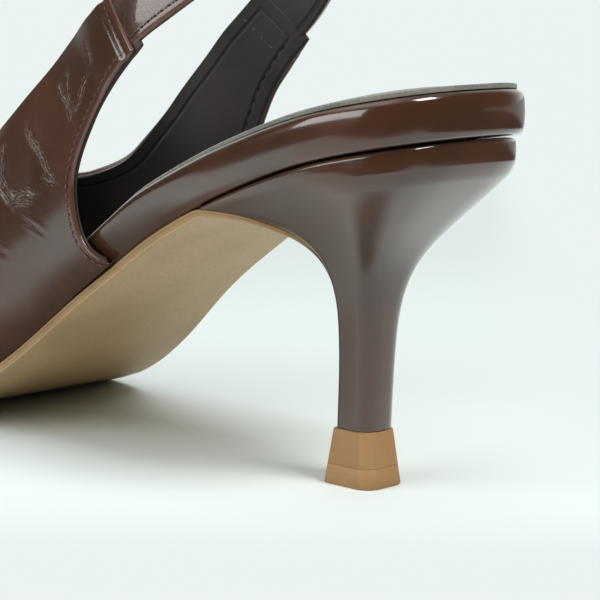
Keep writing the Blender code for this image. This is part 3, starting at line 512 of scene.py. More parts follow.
def upper_grid(side, vamp_rows=50, throat_count=26, quarter_rows=40, wing_rows=WING_ROWS, across=78):
    """Points of one half of the upper; each row climbs from its foot or the wing's rear edge to
    the ridge or the topline.  Returns the grid and the number of rows that reach the ridge."""
    throat = float(along_edge(TOPLINE, np.array([0.0]))[0][0]) + THROAT_DEPTH
    foot_at_throat = throat + 0.016
    foot_at_corner = throat - 0.012
    t = np.linspace(0, 1, vamp_rows) ** 1.5
    foot = SHOE_LENGTH + (foot_at_throat - SHOE_LENGTH) * t
    top = SHOE_LENGTH + (throat - SHOE_LENGTH) * t
    low = np.zeros(vamp_rows)
    high = np.full(vamp_rows, 0.5 * math.pi)
    station, angle = throat_rows(side, throat_count)
    foot = np.append(foot, np.linspace(foot_at_throat, foot_at_corner, throat_count + 1)[1:])
    top, high = np.append(top, station), np.append(high, angle)
    share = np.linspace(0, 1, quarter_rows + 1)[1:]
    top_s, top_z = along_edge(TOPLINE, share * TOPLINE_SHARE_AT_WING_FOOT)
    foot = np.append(foot, foot_at_corner + (WING_FOOT_STATION - foot_at_corner) * share)
    top, high = np.append(top, top_s), np.append(high, angle_at(top_s, top_z))
    low = np.append(low, np.zeros(throat_count + quarter_rows))
    share = np.linspace(0, 1, wing_rows + 1)[1:]
    top_s, top_z = along_edge(TOPLINE, TOPLINE_SHARE_AT_WING_FOOT + share * (1 - TOPLINE_SHARE_AT_WING_FOOT))
    rear_s, rear_z = along_edge(REAR_EDGE, share)
    foot, low = np.append(foot, rear_s), np.append(low, angle_at(rear_s, rear_z))
    top, high = np.append(top, top_s), np.append(high, angle_at(top_s, top_z))
    top, high = ease_throat(top, high, vamp_rows - 1, vamp_rows - 1 + throat_count, side)
    step = np.linspace(0, 1, across + 1)[None, :]
    station = foot[:, None] + (top - foot)[:, None] * step
    angle = low[:, None] + (high - low)[:, None] * step
    power = last("power", station)
    height = upper_height(station)
    start = height[:, :1] * np.sin(low)[:, None] ** (2 / power[:, :1])
    end = height[:, -1:] * np.sin(high)[:, None] ** (2 / power[:, -1:])
    row = np.arange(len(foot))[:, None]
    from_foot = row - (len(foot) - wing_rows - 1)
    flat_start = 0.95 * smooth_step(from_foot, -9, 0) * (1 - smooth_step(from_foot, 3, 18))
    climb = step - flat_start * step * (1 - step) ** 4
    level = np.arcsin(np.clip((start + (end - start) * climb) / height, 0, 1) ** (power / 2))
    even = np.clip((row - vamp_rows + 1) / (throat_count + quarter_rows), 0.0, 1.0)
    return upper_point(station, angle + even * (level - angle), side), vamp_rows


def quads(index):
    """Four-cornered faces of a grid of vertex numbers."""
    return np.stack([index[:-1, :-1], index[:-1, 1:], index[1:, 1:], index[1:, :-1]], -1).reshape(-1, 4)


def swing(points):
    """The foot's inward swing: a sideways shift that grows with the square of the way forward."""
    points = np.array(points, float)
    forward = np.clip((station_of(points[:, 0]) - SWING_STATION) / (SHOE_LENGTH - SWING_STATION), 0, 1)
    points[:, 1] += TOE_SWING * forward**2
    return points


def vertex_normals(points, faces):
    """Area-weighted mean of the normals of the faces round each vertex."""
    a, b = points[faces[:, 2]] - points[faces[:, 0]], points[faces[:, 3]] - points[faces[:, 1]]
    cross = np.cross(a, b)
    total = np.zeros_like(points)
    for corner in range(4):
        np.add.at(total, faces[:, corner], cross)
    return total / np.maximum(np.linalg.norm(total, axis=1), 1e-15)[:, None]


def make_piece(name, points, faces, materials, slot, stands_for=(), face_material=None, marks=None, sharp=35):
    """A riding piece from points and four-cornered faces, with optional marks per vertex."""
    points = swing(points)
    faces = np.asarray(faces, np.int32)
    same = np.array([faces[:, k] == faces[:, (k + 1) % 4] for k in range(4)]).any(0)
    flat, short = faces[~same], faces[same]
    rings = flat.tolist()
    kept = list(np.nonzero(~same)[0])
    for place, ring in zip(np.nonzero(same)[0], short.tolist()):
        ring = [v for k, v in enumerate(ring) if v != ring[(k + 1) % 4]]
        if len(set(ring)) == 3 and len(ring) == 3:
            rings.append(ring)
            kept.append(place)
    mesh = bpy.data.meshes.new(name)
    mesh.from_pydata(points.tolist(), [], rings)
    for material in materials:
        mesh.materials.append(material)
    if face_material is not None:
        mesh.polygons.foreach_set("material_index", np.asarray(face_material, np.int32)[kept])
    for mark, values in (marks or {}).items():
        layer = mesh.attributes.new(mark, "FLOAT", "POINT")
        layer.data.foreach_set("value", np.asarray(values, np.float32))
    mesh.shade_smooth()
    mesh.set_sharp_from_angle(angle=math.radians(sharp))
    mesh.validate()
    mesh.update()
    piece = bpy.data.objects.new(name, mesh)
    bpy.context.scene.collection.objects.link(piece)
    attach(piece, "root")
    if stands_for:
        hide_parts(*stands_for)
    return piece


def distance_to_run(points, run):
    """Shortest distance from each point to a run of points."""
    near = []
    for part in np.array_split(points, max(1, len(points) // 2000)):
        near.append(np.linalg.norm(part[:, None, :] - run[None, :, :], axis=2).min(1))
    return np.concatenate(near)


def wander(points, size, seed):
    """Slow random swelling between -1 and 1: a sum of sines in fixed random directions."""
    rng = np.random.default_rng(seed)
    total = np.zeros(len(points))
    for _ in range(10):
        way = rng.normal(size=3)
        way /= np.linalg.norm(way)
        total += np.sin(points @ way * (2 * math.pi / (size * rng.uniform(0.6, 1.7))) + rng.uniform(0, 6.3))
    return total / 4.5


def smooth_step(value, low, high):
    """Rises from 0 to 1 between two values along a cubic that is level at both ends."""
    t = np.clip((value - low) / (high - low), 0, 1)
    return t * t * (3 - 2 * t)


def soften(values, start, end):
    """Moves each value from start to end half way to the mean of the ones beside it."""
    before, after = values[start - 1 : end - 1], values[start + 1 : end + 1]
    values[start:end] = 0.25 * before + 0.5 * values[start:end] + 0.25 * after


def unit(v):
    """Vectors scaled to length 1."""
    return v / np.maximum(np.linalg.norm(v, axis=-1, keepdims=True), 1e-12)


def run_length(run):
    """Length along a run of points from its start to each of them."""
    return np.concatenate([[0], np.cumsum(np.linalg.norm(np.diff(run, axis=0), axis=1))])


def along_run(at, length, values):
    """Values given at lengths along a run, read in straight lines at other lengths."""
    return np.stack([np.interp(at, length, values[:, k]) for k in range(values.shape[1])], 1)


def crease_field(points, creases, side):
    """Depth of the soft troughs in metres and, for two sets of creases, the signed distance to
    the nearest crease line in millimetres and a mask that fades off it and towards its ends."""
    depth = np.zeros(len(points))
    signed = [np.full(len(points), NO_CREASE), np.full(len(points), NO_CREASE)]
    masks = [np.zeros(len(points)), np.zeros(len(points))]
    on_side = np.clip(points[:, 1] * side / (4 * MM), 0, 1)
    flat = points[:, [0, 2]]
    for number, (deep, width, run) in enumerate(creases):
        run = np.array(run) * MM
        length = run_length(run)
        at = np.linspace(0, length[-1], 90)
        line = natural_curve(length, run, at)
        way = unit(np.gradient(line, axis=0))
        near = np.nonzero((flat >= line.min(0) - 5 * MM).all(1) & (flat <= line.max(0) + 5 * MM).all(1))[0]
        offset = flat[near, None, :] - line[None, :, :]
        gap = np.linalg.norm(offset, axis=2)
        best = gap.argmin(1)
        pick = np.arange(len(near))
        gap = gap[pick, best]
        across = way[best, 0] * offset[pick, best, 1] - way[best, 1] * offset[pick, best, 0]
        fade = np.clip(np.minimum(at[best], length[-1] - at[best]) / (0.22 * length[-1]) + 0.15, 0, 1)
        fade = fade * on_side[near]
        reach = width * MM
        trough = np.exp(-((gap / reach) ** 2)) - 0.5 * np.exp(-(((gap - 2.2 * reach) / reach) ** 2))
        depth[near] -= 0.26 * deep * MM * trough * fade
        slot = number % 2
        strength = np.exp(-((gap / (1.5 * MM)) ** 4)) * fade * min(1.0, deep / 0.3)
        closer = gap / MM < np.abs(signed[slot][near])
        signed[slot][near[closer]] = (np.sign(across) * gap / MM)[closer]
        masks[slot][near] = np.maximum(masks[slot][near], strength)
    return depth, signed, masks


# Millimetres that stand for no crease nearby
NO_CREASE = 9.0
# Marks along the cut edge, where no seam or crease runs
RIM_MARKS = {"seam": -2.0, "fold_a": NO_CREASE, "fold_b": NO_CREASE, "mask_a": 0.0, "mask_b": 0.0}
# In millimetres: the lining's groove from its edge, and its row of tacks from the wing's end
LINING_SEAM = 3.2
TACK_ROW = 9.0
# Shares: leather in the wall's thickness, and the rolled rim along the top and the wing's end
LEATHER_SHARE = 0.5
TOP_RIM = 0.5
END_RIM = 0.62
# The cut edge of the upper from its outside to its inside: share of the wall's thickness, and
# millimetres out from the edge of the solid.  Folded leather first, then the lining behind it.
LEATHER_RIM = (
    (0.02, 0.25),
    (0.05, 0.50),
    (0.10, 0.72),
    (0.18, 0.88),
    (0.28, 0.92),
    (0.38, 0.85),
    (0.45, 0.68),
    (0.49, 0.42),
)
LINING_RIM = (
    (0.51, 0.30),
    (0.56, 0.60),
    (0.63, 0.78),
    (0.72, 0.84),
    (0.82, 0.76),
    (0.91, 0.56),
    (0.97, 0.28),
)


def upper_parts():
    """Both halves of the upper's outer face as one set of points, with its grids of numbers."""
    grids, indexes, points, start = [], [], [], 0
    for side in (1, -1):
        grid, ridge_rows = upper_grid(side)
        rows, cols = grid.shape[:2]
        index = np.arange(rows * cols).reshape(rows, cols) + start
        start += rows * cols
        points.append(grid.reshape(-1, 3))
        indexes.append(index)
        grids.append(grid)
    first, second = indexes
    second[:ridge_rows, -1] = first[:ridge_rows, -1]
    second[0, :] = first[0, :]
    points = np.concatenate(points)
    faces = np.concatenate([quads(first), quads(second)[:, ::-1]])
    return points, faces, first, second, ridge_rows


def stitch_mesh(places, along, up, length, radius):
    """Threads of rounded stitches: a tube of six sides that dips into the leather at its ends."""
    rings = np.linspace(0, 1, 7)
    thick = np.array([0.35, 0.8, 1.0, 1.0, 1.0, 0.8, 0.35]) * radius
    lift = radius * (1.15 - 3.2 * (2 * rings - 1) ** 4)
    turn = np.arange(6) * math.pi / 3
    across = np.cross(up, along)
    template = np.stack(
        [
            np.repeat((rings - 0.5) * length, 6),
            (thick[:, None] * np.cos(turn)[None, :]).ravel(),
            (thick[:, None] * np.sin(turn)[None, :] + lift[:, None]).ravel(),
        ],
        1,
    )
    points = (
        places[:, None, :]
        + template[None, :, 0:1] * along[:, None, :]
        + template[None, :, 1:2] * across[:, None, :]
        + template[None, :, 2:3] * up[:, None, :]
    )
    index = np.arange(42).reshape(7, 6)
    index = np.concatenate([index, index[:, :1]], 1)
    sides = quads(index)
    caps = np.array([[0, 1, 2, 3], [0, 3, 4, 5], [39, 38, 37, 36], [41, 40, 39, 36]])
    one = np.concatenate([sides, caps[:, ::-1]])
    faces = (one[None, :, :] + 42 * np.arange(len(places))[:, None, None]).reshape(-1, 4)
    return points.reshape(-1, 3), faces


def hole_mesh(places, along, up, long, wide):
    """Painted shade of needle holes between stitches: dark flat oval lenses of eight sides, half sunk in the
    leather.
    """
    turn = np.arange(8) * math.pi / 4
    rim = np.stack([long * np.cos(turn), wide * np.sin(turn), np.full(8, -0.02 * MM)], 1)
    template = np.concatenate([rim, [[0, 0, 0.05 * MM], [0, 0, -0.08 * MM]]])
    across = np.cross(up, along)
    frames = np.stack([along, across, up], 1)
    points = places[:, None, :] + np.einsum("ij,njk->nik", template, frames)
    one = np.array([[8, 0, 1, 2], [8, 2, 3, 4], [8, 4, 5, 6], [8, 6, 7, 0]])
    one = np.concatenate([one, np.where(one == 8, 9, one)[:, ::-1]])
    faces = (one[None, :, :] + 10 * np.arange(len(places))[:, None, None]).reshape(-1, 4)
    return points.reshape(-1, 3), faces


def even_places(run, normals, pitch, lead=0.0):
    """Points a pitch apart along a run, with the direction of the run and its normal there."""
    length = run_length(run)
    at = np.arange(pitch * 0.5 + lead, length[-1] - pitch * 0.4, pitch)
    normal = along_run(at, length, normals)
    along = along_run(at + 0.3 * MM, length, run) - along_run(at - 0.3 * MM, length, run)
    along -= normal * np.sum(along * normal, axis=1)[:, None]
    return along_run(at, length, run), unit(along), unit(normal)


def crossing(points, normals, gap, level):
    """Where each row of a grid first comes a given distance from an edge."""
    past = gap >= level
    has = past.any(1)
    i = np.clip(past.argmax(1), 1, gap.shape[1] - 1)
    row = np.arange(len(gap))
    a, b = gap[row, i - 1], gap[row, i]
    t = np.clip((level - a) / np.maximum(b - a, 1e-9), 0, 1)[:, None]
    place = points[row, i - 1] * (1 - t) + points[row, i] * t
    normal = normals[row, i - 1] * (1 - t) + normals[row, i] * t
    return place[has], unit(normal[has])


# Shader building blocks


# Streaks of the sanded sole: how often they repeat along, across and up
SOLE_STREAK = (40.0, 240.0, 240.0)


def shade(colour, share):
    """A colour made darker or lighter by a share."""
    return tuple(share * c for c in colour)


def new_material(name):
    """A new node material, its tree and its Principled shader."""
    material = bpy.data.materials.new(name)
    material.use_nodes = True
    tree = material.node_tree
    return material, tree, tree.nodes["Principled BSDF"]


def feed(tree, socket, value):
    """Links a socket to another node's, or sets its plain value."""
    if isinstance(value, bpy.types.NodeSocket):
        tree.links.new(value, socket)
    else:
        socket.default_value = value


def node(tree, kind, inputs=None, **settings):
    """A node with its settings made and its inputs, by name or number, fed."""
    made = tree.nodes.new(kind)
    for key, value in settings.items():
        setattr(made, key, value)
    for key, value in (inputs or {}).items():
        feed(tree, made.inputs[key], value)
    return made


def mixed(tree, factor, first, second):
    """A colour between two colours."""
    made = node(tree, "ShaderNodeMix", {0: factor}, data_type="RGBA")
    for key, value in ((6, first), (7, second)):
        feed(tree, made.inputs[key], (*value, 1.0) if isinstance(value, tuple) else value)
    return made.outputs[2]


def maths(tree, operation, a, b=0.0):
    """One step of arithmetic on values that change over a surface."""
    return node(tree, "ShaderNodeMath", {0: a, 1: b}, operation=operation).outputs[0]


def times(tree, a, b):
    """The product of two values."""
    return maths(tree, "MULTIPLY", a, b)


def ramp(tree, value, low, high, start=0.0, end=1.0):
    """Start below low, end above high, and a smooth step between them."""
    inputs = {"Value": value, "From Min": low, "From Max": high, "To Min": start, "To Max": end}
    return node(tree, "ShaderNodeMapRange", inputs, interpolation_type="SMOOTHSTEP").outputs[0]


def noise_at(tree, vector, scale, detail, **settings):
    """A noise pattern's node, scaled per metre."""
    return node(tree, "ShaderNodeTexNoise", {"Vector": vector, "Scale": scale, "Detail": detail, **settings})


def group_sockets(group, inputs, outputs):
    """Gives a node group its named inputs, with their kinds and defaults, and its outputs."""
    for name, kind, value in inputs:
        socket = group.interface.new_socket(name, in_out="INPUT", socket_type=kind)
        if value is not None:
            socket.default_value = value
    for name, kind in outputs:
        group.interface.new_socket(name, in_out="OUTPUT", socket_type=kind)


def grain_group():
    """Glazed calf: height in millimetres of pores and crumple, and a slow cloud for colour."""
    group = bpy.data.node_groups.new("glazed_calf_grain", "ShaderNodeTree")
    group_sockets(
        group,
        (
            ("Vector", "NodeSocketVector", None),
            ("Pores", "NodeSocketFloat", 0.004),
            ("Crumple", "NodeSocketFloat", 0.0),
        ),
        (("Height", "NodeSocketFloat"), ("Cloud", "NodeSocketFloat"), ("Crest", "NodeSocketFloat")),
    )
    enter, leave = group.nodes.new("NodeGroupInput"), group.nodes.new("NodeGroupOutput")
    vector = enter.outputs["Vector"]
    warp = noise_at(group, vector, 420.0, 3.0).outputs["Color"]
    offset = node(group, "ShaderNodeVectorMath", {0: warp, "Scale": 0.0022}, operation="SCALE").outputs[0]
    warped = node(group, "ShaderNodeVectorMath", {0: vector, 1: offset}, operation="ADD").outputs[0]
    pores, cells = (
        node(group, "ShaderNodeTexVoronoi", {"Vector": warped, "Scale": scale}, feature="DISTANCE_TO_EDGE")
        for scale in (1700.0, 620.0)
    )
    crest = ramp(group, cells.outputs["Distance"], 0.0, 0.14, 1.0, 0.0)
    rough = noise_at(group, vector, 1500.0, 4.0, Roughness=0.6)
    crumple = maths(group, "ADD", crest, rough.outputs["Fac"])
    crumple = times(group, crumple, enter.outputs["Crumple"])
    fine = times(group, ramp(group, pores.outputs["Distance"], 0.0, 0.2), enter.outputs["Pores"])
    group.links.new(maths(group, "ADD", fine, crumple), leave.inputs["Height"])
    cloud = noise_at(group, vector, 30.0, 4.0, Roughness=0.55)
    group.links.new(cloud.outputs["Fac"], leave.inputs["Cloud"])
    group.links.new(crest, leave.inputs["Crest"])
    return group


def fold_group():
    """A broken, wandering crease line where a signed gap in millimetres passes nought."""
    group = bpy.data.node_groups.new("crease_line", "ShaderNodeTree")
    group_sockets(
        group,
        (
            ("Vector", "NodeSocketVector", None),
            ("Gap", "NodeSocketFloat", 9.0),
            ("Mask", "NodeSocketFloat", 0.0),
            ("Seed", "NodeSocketFloat", 0.0),
        ),
        (("Line", "NodeSocketFloat"), ("Height", "NodeSocketFloat")),
    )
    enter, leave = group.nodes.new("NodeGroupInput"), group.nodes.new("NodeGroupOutput")
    vector = enter.outputs["Vector"]
    noise = noise_at(group, vector, 520.0, 5.0, Roughness=0.62)
    noise.noise_dimensions = "4D"
    feed(group, noise.inputs["W"], enter.outputs["Seed"])
    jitter = times(group, maths(group, "SUBTRACT", noise.outputs["Fac"], 0.5), 2.6)
    gap = maths(group, "ABSOLUTE", maths(group, "ADD", enter.outputs["Gap"], jitter))
    main = ramp(group, gap, 0.0, 0.22, 1.0, 0.0)
    beside = maths(group, "ABSOLUTE", maths(group, "SUBTRACT", gap, 0.85))
    second = times(group, ramp(group, beside, 0.0, 0.17, 1.0, 0.0), 0.55)
    broken = ramp(group, noise_at(group, vector, 850.0, 3.0).outputs["Fac"], 0.40, 0.60)
    line = maths(group, "MAXIMUM", main, times(group, second, broken))
    line = times(group, line, maths(group, "ADD", times(group, broken, 0.75), 0.25))
    line = times(group, line, enter.outputs["Mask"])
    group.links.new(line, leave.inputs["Line"])
    group.links.new(times(group, line, 0.11), leave.inputs["Height"])
    return group


def use_group(tree, group, **inputs):
    """A node group placed in a material, with its named inputs fed."""
    return node(tree, "ShaderNodeGroup", inputs, node_tree=group)


def object_place(tree):
    """Coordinates in metres on the object."""
    return node(tree, "ShaderNodeTexCoord").outputs["Object"]


def mark(tree, name):
    """A mark that a piece's mesh carries at its points."""
    return node(tree, "ShaderNodeAttribute", attribute_name=name).outputs["Fac"]


def bump_in_millimetres(tree, shader, height):
    """Feeds the shader's normal from a height in millimetres."""
    bump = node(tree, "ShaderNodeBump", {"Strength": 1.0, "Distance": MM, "Height": height})
    tree.links.new(bump.outputs[0], shader.inputs["Normal"])


def brown_leather(name, colours, groups, crumple, roughness, coat, seam=False, folds=False):
    """Glazed dark brown leather: cloudy brown with fine pores; beside a seam its edge is redder
    and the stitches lie in a groove painted darker as shade; its creases are thin, broken and
    painted paler, partly for the whitened fibres of a fold and partly as a painted highlight."""
    material, tree, shader = new_material(name)
    grain, fold = groups
    place = object_place(tree)
    masks = [mark(tree, "mask_a"), mark(tree, "mask_b")] if folds else []
    if folds:
        crumple = maths(tree, "ADD", times(tree, maths(tree, "ADD", *masks), 0.022), crumple)
    body = use_group(tree, grain, Vector=place, Crumple=crumple)
    colour = mixed(tree, ramp(tree, body.outputs["Cloud"], 0.40, 0.64), colours[0], colours[1])
    height = body.outputs["Height"]
    if seam:
        gap = mark(tree, "seam")
        colour = mixed(tree, ramp(tree, gap, -0.9, -0.3, 0.8, 0.0), colour, colours[2])
        groove = ramp(tree, maths(tree, "ABSOLUTE", gap), 0.0, 0.38, 1.0, 0.0)
        height = maths(tree, "SUBTRACT", height, times(tree, groove, 0.12))
        # Painted shade: the stitch groove is darkened towards near black
        colour = mixed(tree, times(tree, groove, 0.55), colour, (0.022, 0.010, 0.006))
    for letter, strength in zip("ab", masks):
        gap, seed = mark(tree, "fold_" + letter), 3.0 + ord(letter)
        line = use_group(tree, fold, Vector=place, Gap=gap, Mask=strength, Seed=seed)
        height = maths(tree, "ADD", height, line.outputs["Height"])
        # Creases painted paler: partly the whitened fibres of a fold, partly a painted highlight on the ridge
        pale = times(tree, line.outputs["Line"], ramp(tree, strength, 0.42, 0.70, 0.0, 0.8))
        colour = mixed(tree, pale, colour, (0.36, 0.28, 0.23))
    tree.links.new(colour, shader.inputs["Base Color"])
    shine = ramp(tree, body.outputs["Cloud"], 0.3, 0.7, roughness - 0.03, roughness + 0.05)
    tree.links.new(shine, shader.inputs["Roughness"])
    bump_in_millimetres(tree, shader, height)
    shader.inputs["Coat Weight"].default_value = coat
    shader.inputs["Coat Roughness"].default_value = 0.07
    return material


def dark_lining(name, colour, lighter):
    """Dark lining leather: cloudy, finely grained, with a pressed groove beside its edge that is painted
    darker as shade.
    """
    material, tree, shader = new_material(name)
    place = object_place(tree)
    cloud, fine = noise_at(tree, place, 45.0, 5.0), noise_at(tree, place, 1500.0, 3.0)
    tone = mixed(tree, ramp(tree, cloud.outputs["Fac"], 0.35, 0.7), colour, lighter)
    groove = ramp(tree, maths(tree, "ABSOLUTE", mark(tree, "seam")), 0.0, 0.8, 1.0, 0.0)
    # Painted shade: the groove is darkened towards near black
    tone = mixed(tree, times(tree, groove, 0.6), tone, (0.006, 0.005, 0.004))
    tree.links.new(tone, shader.inputs["Base Color"])
    height = maths(tree, "SUBTRACT", times(tree, fine.outputs["Fac"], 0.03), times(tree, groove, 0.16))
    bump_in_millimetres(tree, shader, height)
    shader.inputs["Roughness"].default_value = 0.5
    return material


def sock_cloth(name, colour):
    """Soft grey suede: a short nap, darker between its tufts, with a faint sheen."""
    material, tree, shader = new_material(name)
    place = object_place(tree)
    nap, cloud = noise_at(tree, place, 2600.0, 4.0, Roughness=0.7), noise_at(tree, place, 90.0, 3.0)
    tone = mixed(tree, ramp(tree, nap.outputs["Fac"], 0.35, 0.65), shade(colour, 0.45), colour)
    tone = mixed(tree, ramp(tree, cloud.outputs["Fac"], 0.4, 0.7, 0.0, 0.3), tone, shade(colour, 1.5))
    tree.links.new(tone, shader.inputs["Base Color"])
    bump_in_millimetres(tree, shader, times(tree, nap.outputs["Fac"], 0.09))
    shader.inputs["Roughness"].default_value = 0.8
    shader.inputs["Sheen Weight"].default_value = 0.5
    shader.inputs["Sheen Roughness"].default_value = 0.4
    return material


def tan_leather(name, colours, roughness=0.42, edge=False):
    """Tan sole leather: sanded streaks along the shoe, faint mottling, a satin finish."""
    material, tree, shader = new_material(name)
    place = object_place(tree)
    drawn = node(tree, "ShaderNodeMapping", {"Vector": place, "Scale": SOLE_STREAK}).outputs[0]
    fine, cloud = noise_at(tree, drawn, 6.0, 6.0, Roughness=0.6), noise_at(tree, place, 45.0, 4.0)
    tone = mixed(tree, ramp(tree, cloud.outputs["Fac"], 0.35, 0.7), colours[0], colours[1])
    tone = mixed(tree, ramp(tree, fine.outputs["Fac"], 0.45, 0.75, 0.0, 0.35), tone, colours[2])
    if edge:
        dyed = ramp(tree, mark(tree, "down"), 0.34, 0.46, 0.0, 1.0)
        tone = mixed(tree, dyed, tone, colours[3])
    tree.links.new(tone, shader.inputs["Base Color"])
    shine = ramp(tree, fine.outputs["Fac"], 0.3, 0.7, roughness, roughness + 0.15)
    tree.links.new(shine, shader.inputs["Roughness"])
    bump_in_millimetres(tree, shader, times(tree, fine.outputs["Fac"], 0.03))
    return material


def thread_material(name, colour):
    """Waxed thread, or the painted shade of a needle hole: one colour, mottled at the size of the twist."""
    material, tree, shader = new_material(name)
    place = object_place(tree)
    twist = noise_at(tree, place, 4000.0, 2.0)
    tree.links.new(mixed(tree, twist.outputs["Fac"], shade(colour, 0.5), colour), shader.inputs["Base Color"])
    shader.inputs["Roughness"].default_value = 0.6
    return material


# Looks of the studio: the ways from the shoe to the camera and to its left, in plan, and two
# plain tones
CAMERA_SIDE = (-0.682, 0.731)
CAMERA_LEFT = (0.731, 0.682)
BACKGROUND = (0.83, 0.90, 0.885)
DARK_ROOM = (0.045, 0.045, 0.045)

# What a user may change


def colour_property(name, description, default):
    """A colour that a user may change."""
    return bpy.props.FloatVectorProperty(
        name=name, description=description, subtype="COLOR", size=3, min=0.0, max=1.0, default=default
    )


def length_property(name, description, default):
    """A length in metres that a user may change."""
    return bpy.props.FloatProperty(name=name, description=description, default=default, unit="LENGTH")


class PumpColours(bpy.types.PropertyGroup):
    """Colours of the pump's leathers and threads"""

    leather: colour_property("Leather", "Brown of the upper, strap, footbed and heel", (0.054, 0.0225, 0.011))
    leather_warm: colour_property("Leather, warm", "Redder clouds in the brown", (0.078, 0.028, 0.013))
    leather_edge: colour_property("Folded edge", "Redder brown of the folded edge", (0.100, 0.030, 0.014))
    lining: colour_property("Lining", "Dark lining of the upper", (0.021, 0.018, 0.015))
    lining_light: colour_property("Lining, light", "Paler clouds in the lining", (0.044, 0.029, 0.031))
    sock: colour_property("Sock", "Cover of the footbed", (0.24, 0.232, 0.200))
    sole: colour_property("Sole", "Tan of the outsole", (0.51, 0.345, 0.180))
    sole_edge: colour_property("Sole edge", "Warmer tan of the outsole's cut edge", (0.36, 0.215, 0.095))
    tip: colour_property("Tip", "Tan of the heel tip", (0.37, 0.205, 0.082))
    thread: colour_property("Thread", "Thread of the outer seams", (0.17, 0.095, 0.065))
    thread_pale: colour_property("Tacks", "Pale thread of the tacks in the lining", (0.30, 0.25, 0.19))
    floor: colour_property("Floor", "Pale floor", (0.80, 0.875, 0.865))


class PumpSizes(bpy.types.PropertyGroup):
    """Fine sizes of the pump's finish"""

    stitch_pitch: length_property("Stitch pitch", "From one stitch of the wing to the next", 0.0021)
    strap_pitch: length_property("Strap stitch pitch", "From one stitch of the strap to the next", 0.0021)
    stitch_margin: length_property("Rear seam", "Seam to the rear edge of the wing's solid", 0.0010)
    end_margin: length_property("End seam", "Seam to the end of the wing's leather", 0.0018)
    lining_tab: length_property("Lining tab", "How far the lining outlasts the wing's leather", 0.0024)
    thread_radius: length_property("Thread radius", "Half the thickness of the thread", 0.00017)
    crease_share: bpy.props.FloatProperty(
        name="Creases", description="Depth of the wing's creases, as a share", default=1.0, min=0.0, max=2.0,
        subtype="FACTOR",
    )


def leathers():
    """The materials that several pieces share, made once."""
    if "glazed brown wing" in bpy.data.materials:
        return {m.name: m for m in bpy.data.materials}
    chosen = bpy.context.scene.pump_colours
    colours = {name: tuple(getattr(chosen, name)) for name in PumpColours.__annotations__}
    groups = grain_group(), fold_group()
    browns = (colours["leather"], colours["leather_warm"], colours["leather_edge"])
    brown_leather("glazed brown wing", browns, groups, 0.001, 0.21, 0.8, seam=True, folds=True)
    brown_leather("glazed brown wrap", browns, groups, 0.001, 0.15, 1.0)
    brown_leather("glazed brown heel", browns, groups, 0.002, 0.17, 1.0)
    brown_leather("grained brown strap", browns, groups, 0.020, 0.28, 0.9, seam=True)
    brown_leather("glossy lining edge", ((0.024, 0.021, 0.018),) * 3, groups, 0.002, 0.26, 1.0)
    dark_lining("dark lining", colours["lining"], colours["lining_light"])
    sock_cloth("sock suede", colours["sock"])
    sole, edge, tip = colours["sole"], colours["sole_edge"], colours["tip"]
    tan_leather("tan sole", (sole, shade(sole, 0.86), shade(sole, 0.72)))
    edges = (edge, shade(edge, 0.85), shade(edge, 0.6), shade(browns[0], 0.7))
    tan_leather("tan sole edge", edges, edge=True)
    tan_leather("tan tip", (tip, (0.9 * tip[0], 0.8 * tip[1], 0.7 * tip[2]), shade(tip, 0.85)), 0.5)
    thread_material("seam thread", colours["thread"])
    thread_material("dark thread", shade(colours["lining"], 0.7))
    thread_material("pale thread", colours["thread_pale"])
    # Painted shade: the near-black colour of the needle holes stands for the shade inside them
    thread_material("dark hole", (0.008, 0.006, 0.005))
    return {m.name: m for m in bpy.data.materials}


def seam_from(points, normals, pitch, length, radius, lead=0.0):
    """Stitches a pitch apart along a run of points."""
    place, along, up = even_places(points, normals, pitch, lead)
    return stitch_mesh(place, along, up, length, radius)


def holes_from(points, normals, pitch, long=0.34 * MM, wide=0.24 * MM):
    """Needle holes half way between the stitches of the same run, as dark discs of painted shade."""
    place, along, up = even_places(points, normals, pitch, 0.5 * pitch)
    return hole_mesh(place, along, up, long, wide)


def joined(parts):
    """Several sets of points and faces as one set."""
    points, faces, start = [], [], 0
    for p, f in parts:
        points.append(p)
        faces.append(f + start)
        start += len(p)
    return np.concatenate(points), np.concatenate(faces)


def rim_direction(points, normals, index, parts):
    """The way out from a wing's cut edge: the cross product of the edge's direction and the
    wall's normal, eased by repeated means of neighbours.  It holds still just before the foot
    and is nothing along it."""
    top, end, rear, foot = parts
    edge_run = np.concatenate([top, end, rear, foot[:1]])
    outward = unit(np.cross(np.gradient(points[edge_run], axis=0), normals[edge_run]))
    middle = len(top) + len(end) + len(rear) // 3
    inward_point = index[len(index) - 1 - len(rear) // 3, 3]
    if outward[middle] @ (points[edge_run[middle]] - points[inward_point]) < 0:
        outward = -outward
    settled = len(top) + len(end) + len(rear) - 7
    outward[settled:] = outward[settled]
    for _ in range(4):
        outward[1:-1] = unit(outward[:-2] + 2 * outward[1:-1] + outward[2:])
    outward[0] = unit(outward[0] * (1, 0, 1))
    return np.concatenate([outward[:-1], np.zeros((len(foot), 3))])


def rim_share(parts):
    """How much of the rolled rim each point of a wing's edge takes: one share along the top and
    one along the end, a rear that narrows towards the foot, eased by repeated means of
    neighbours, and nothing along the foot."""
    top, end, rear, foot = parts
    narrowing = 1.0 - 0.8 * smooth_step(np.arange(len(rear)), len(rear) - 12, len(rear) - 1)
    share = np.concatenate([np.full(len(top), TOP_RIM), np.full(len(end), END_RIM), narrowing])
    for _ in range(12):
        share[1:] = 0.25 * share[:-1] + 0.5 * share[1:] + 0.25 * np.append(share[2:], share[-1])
    return np.append(share, np.zeros(len(foot)))


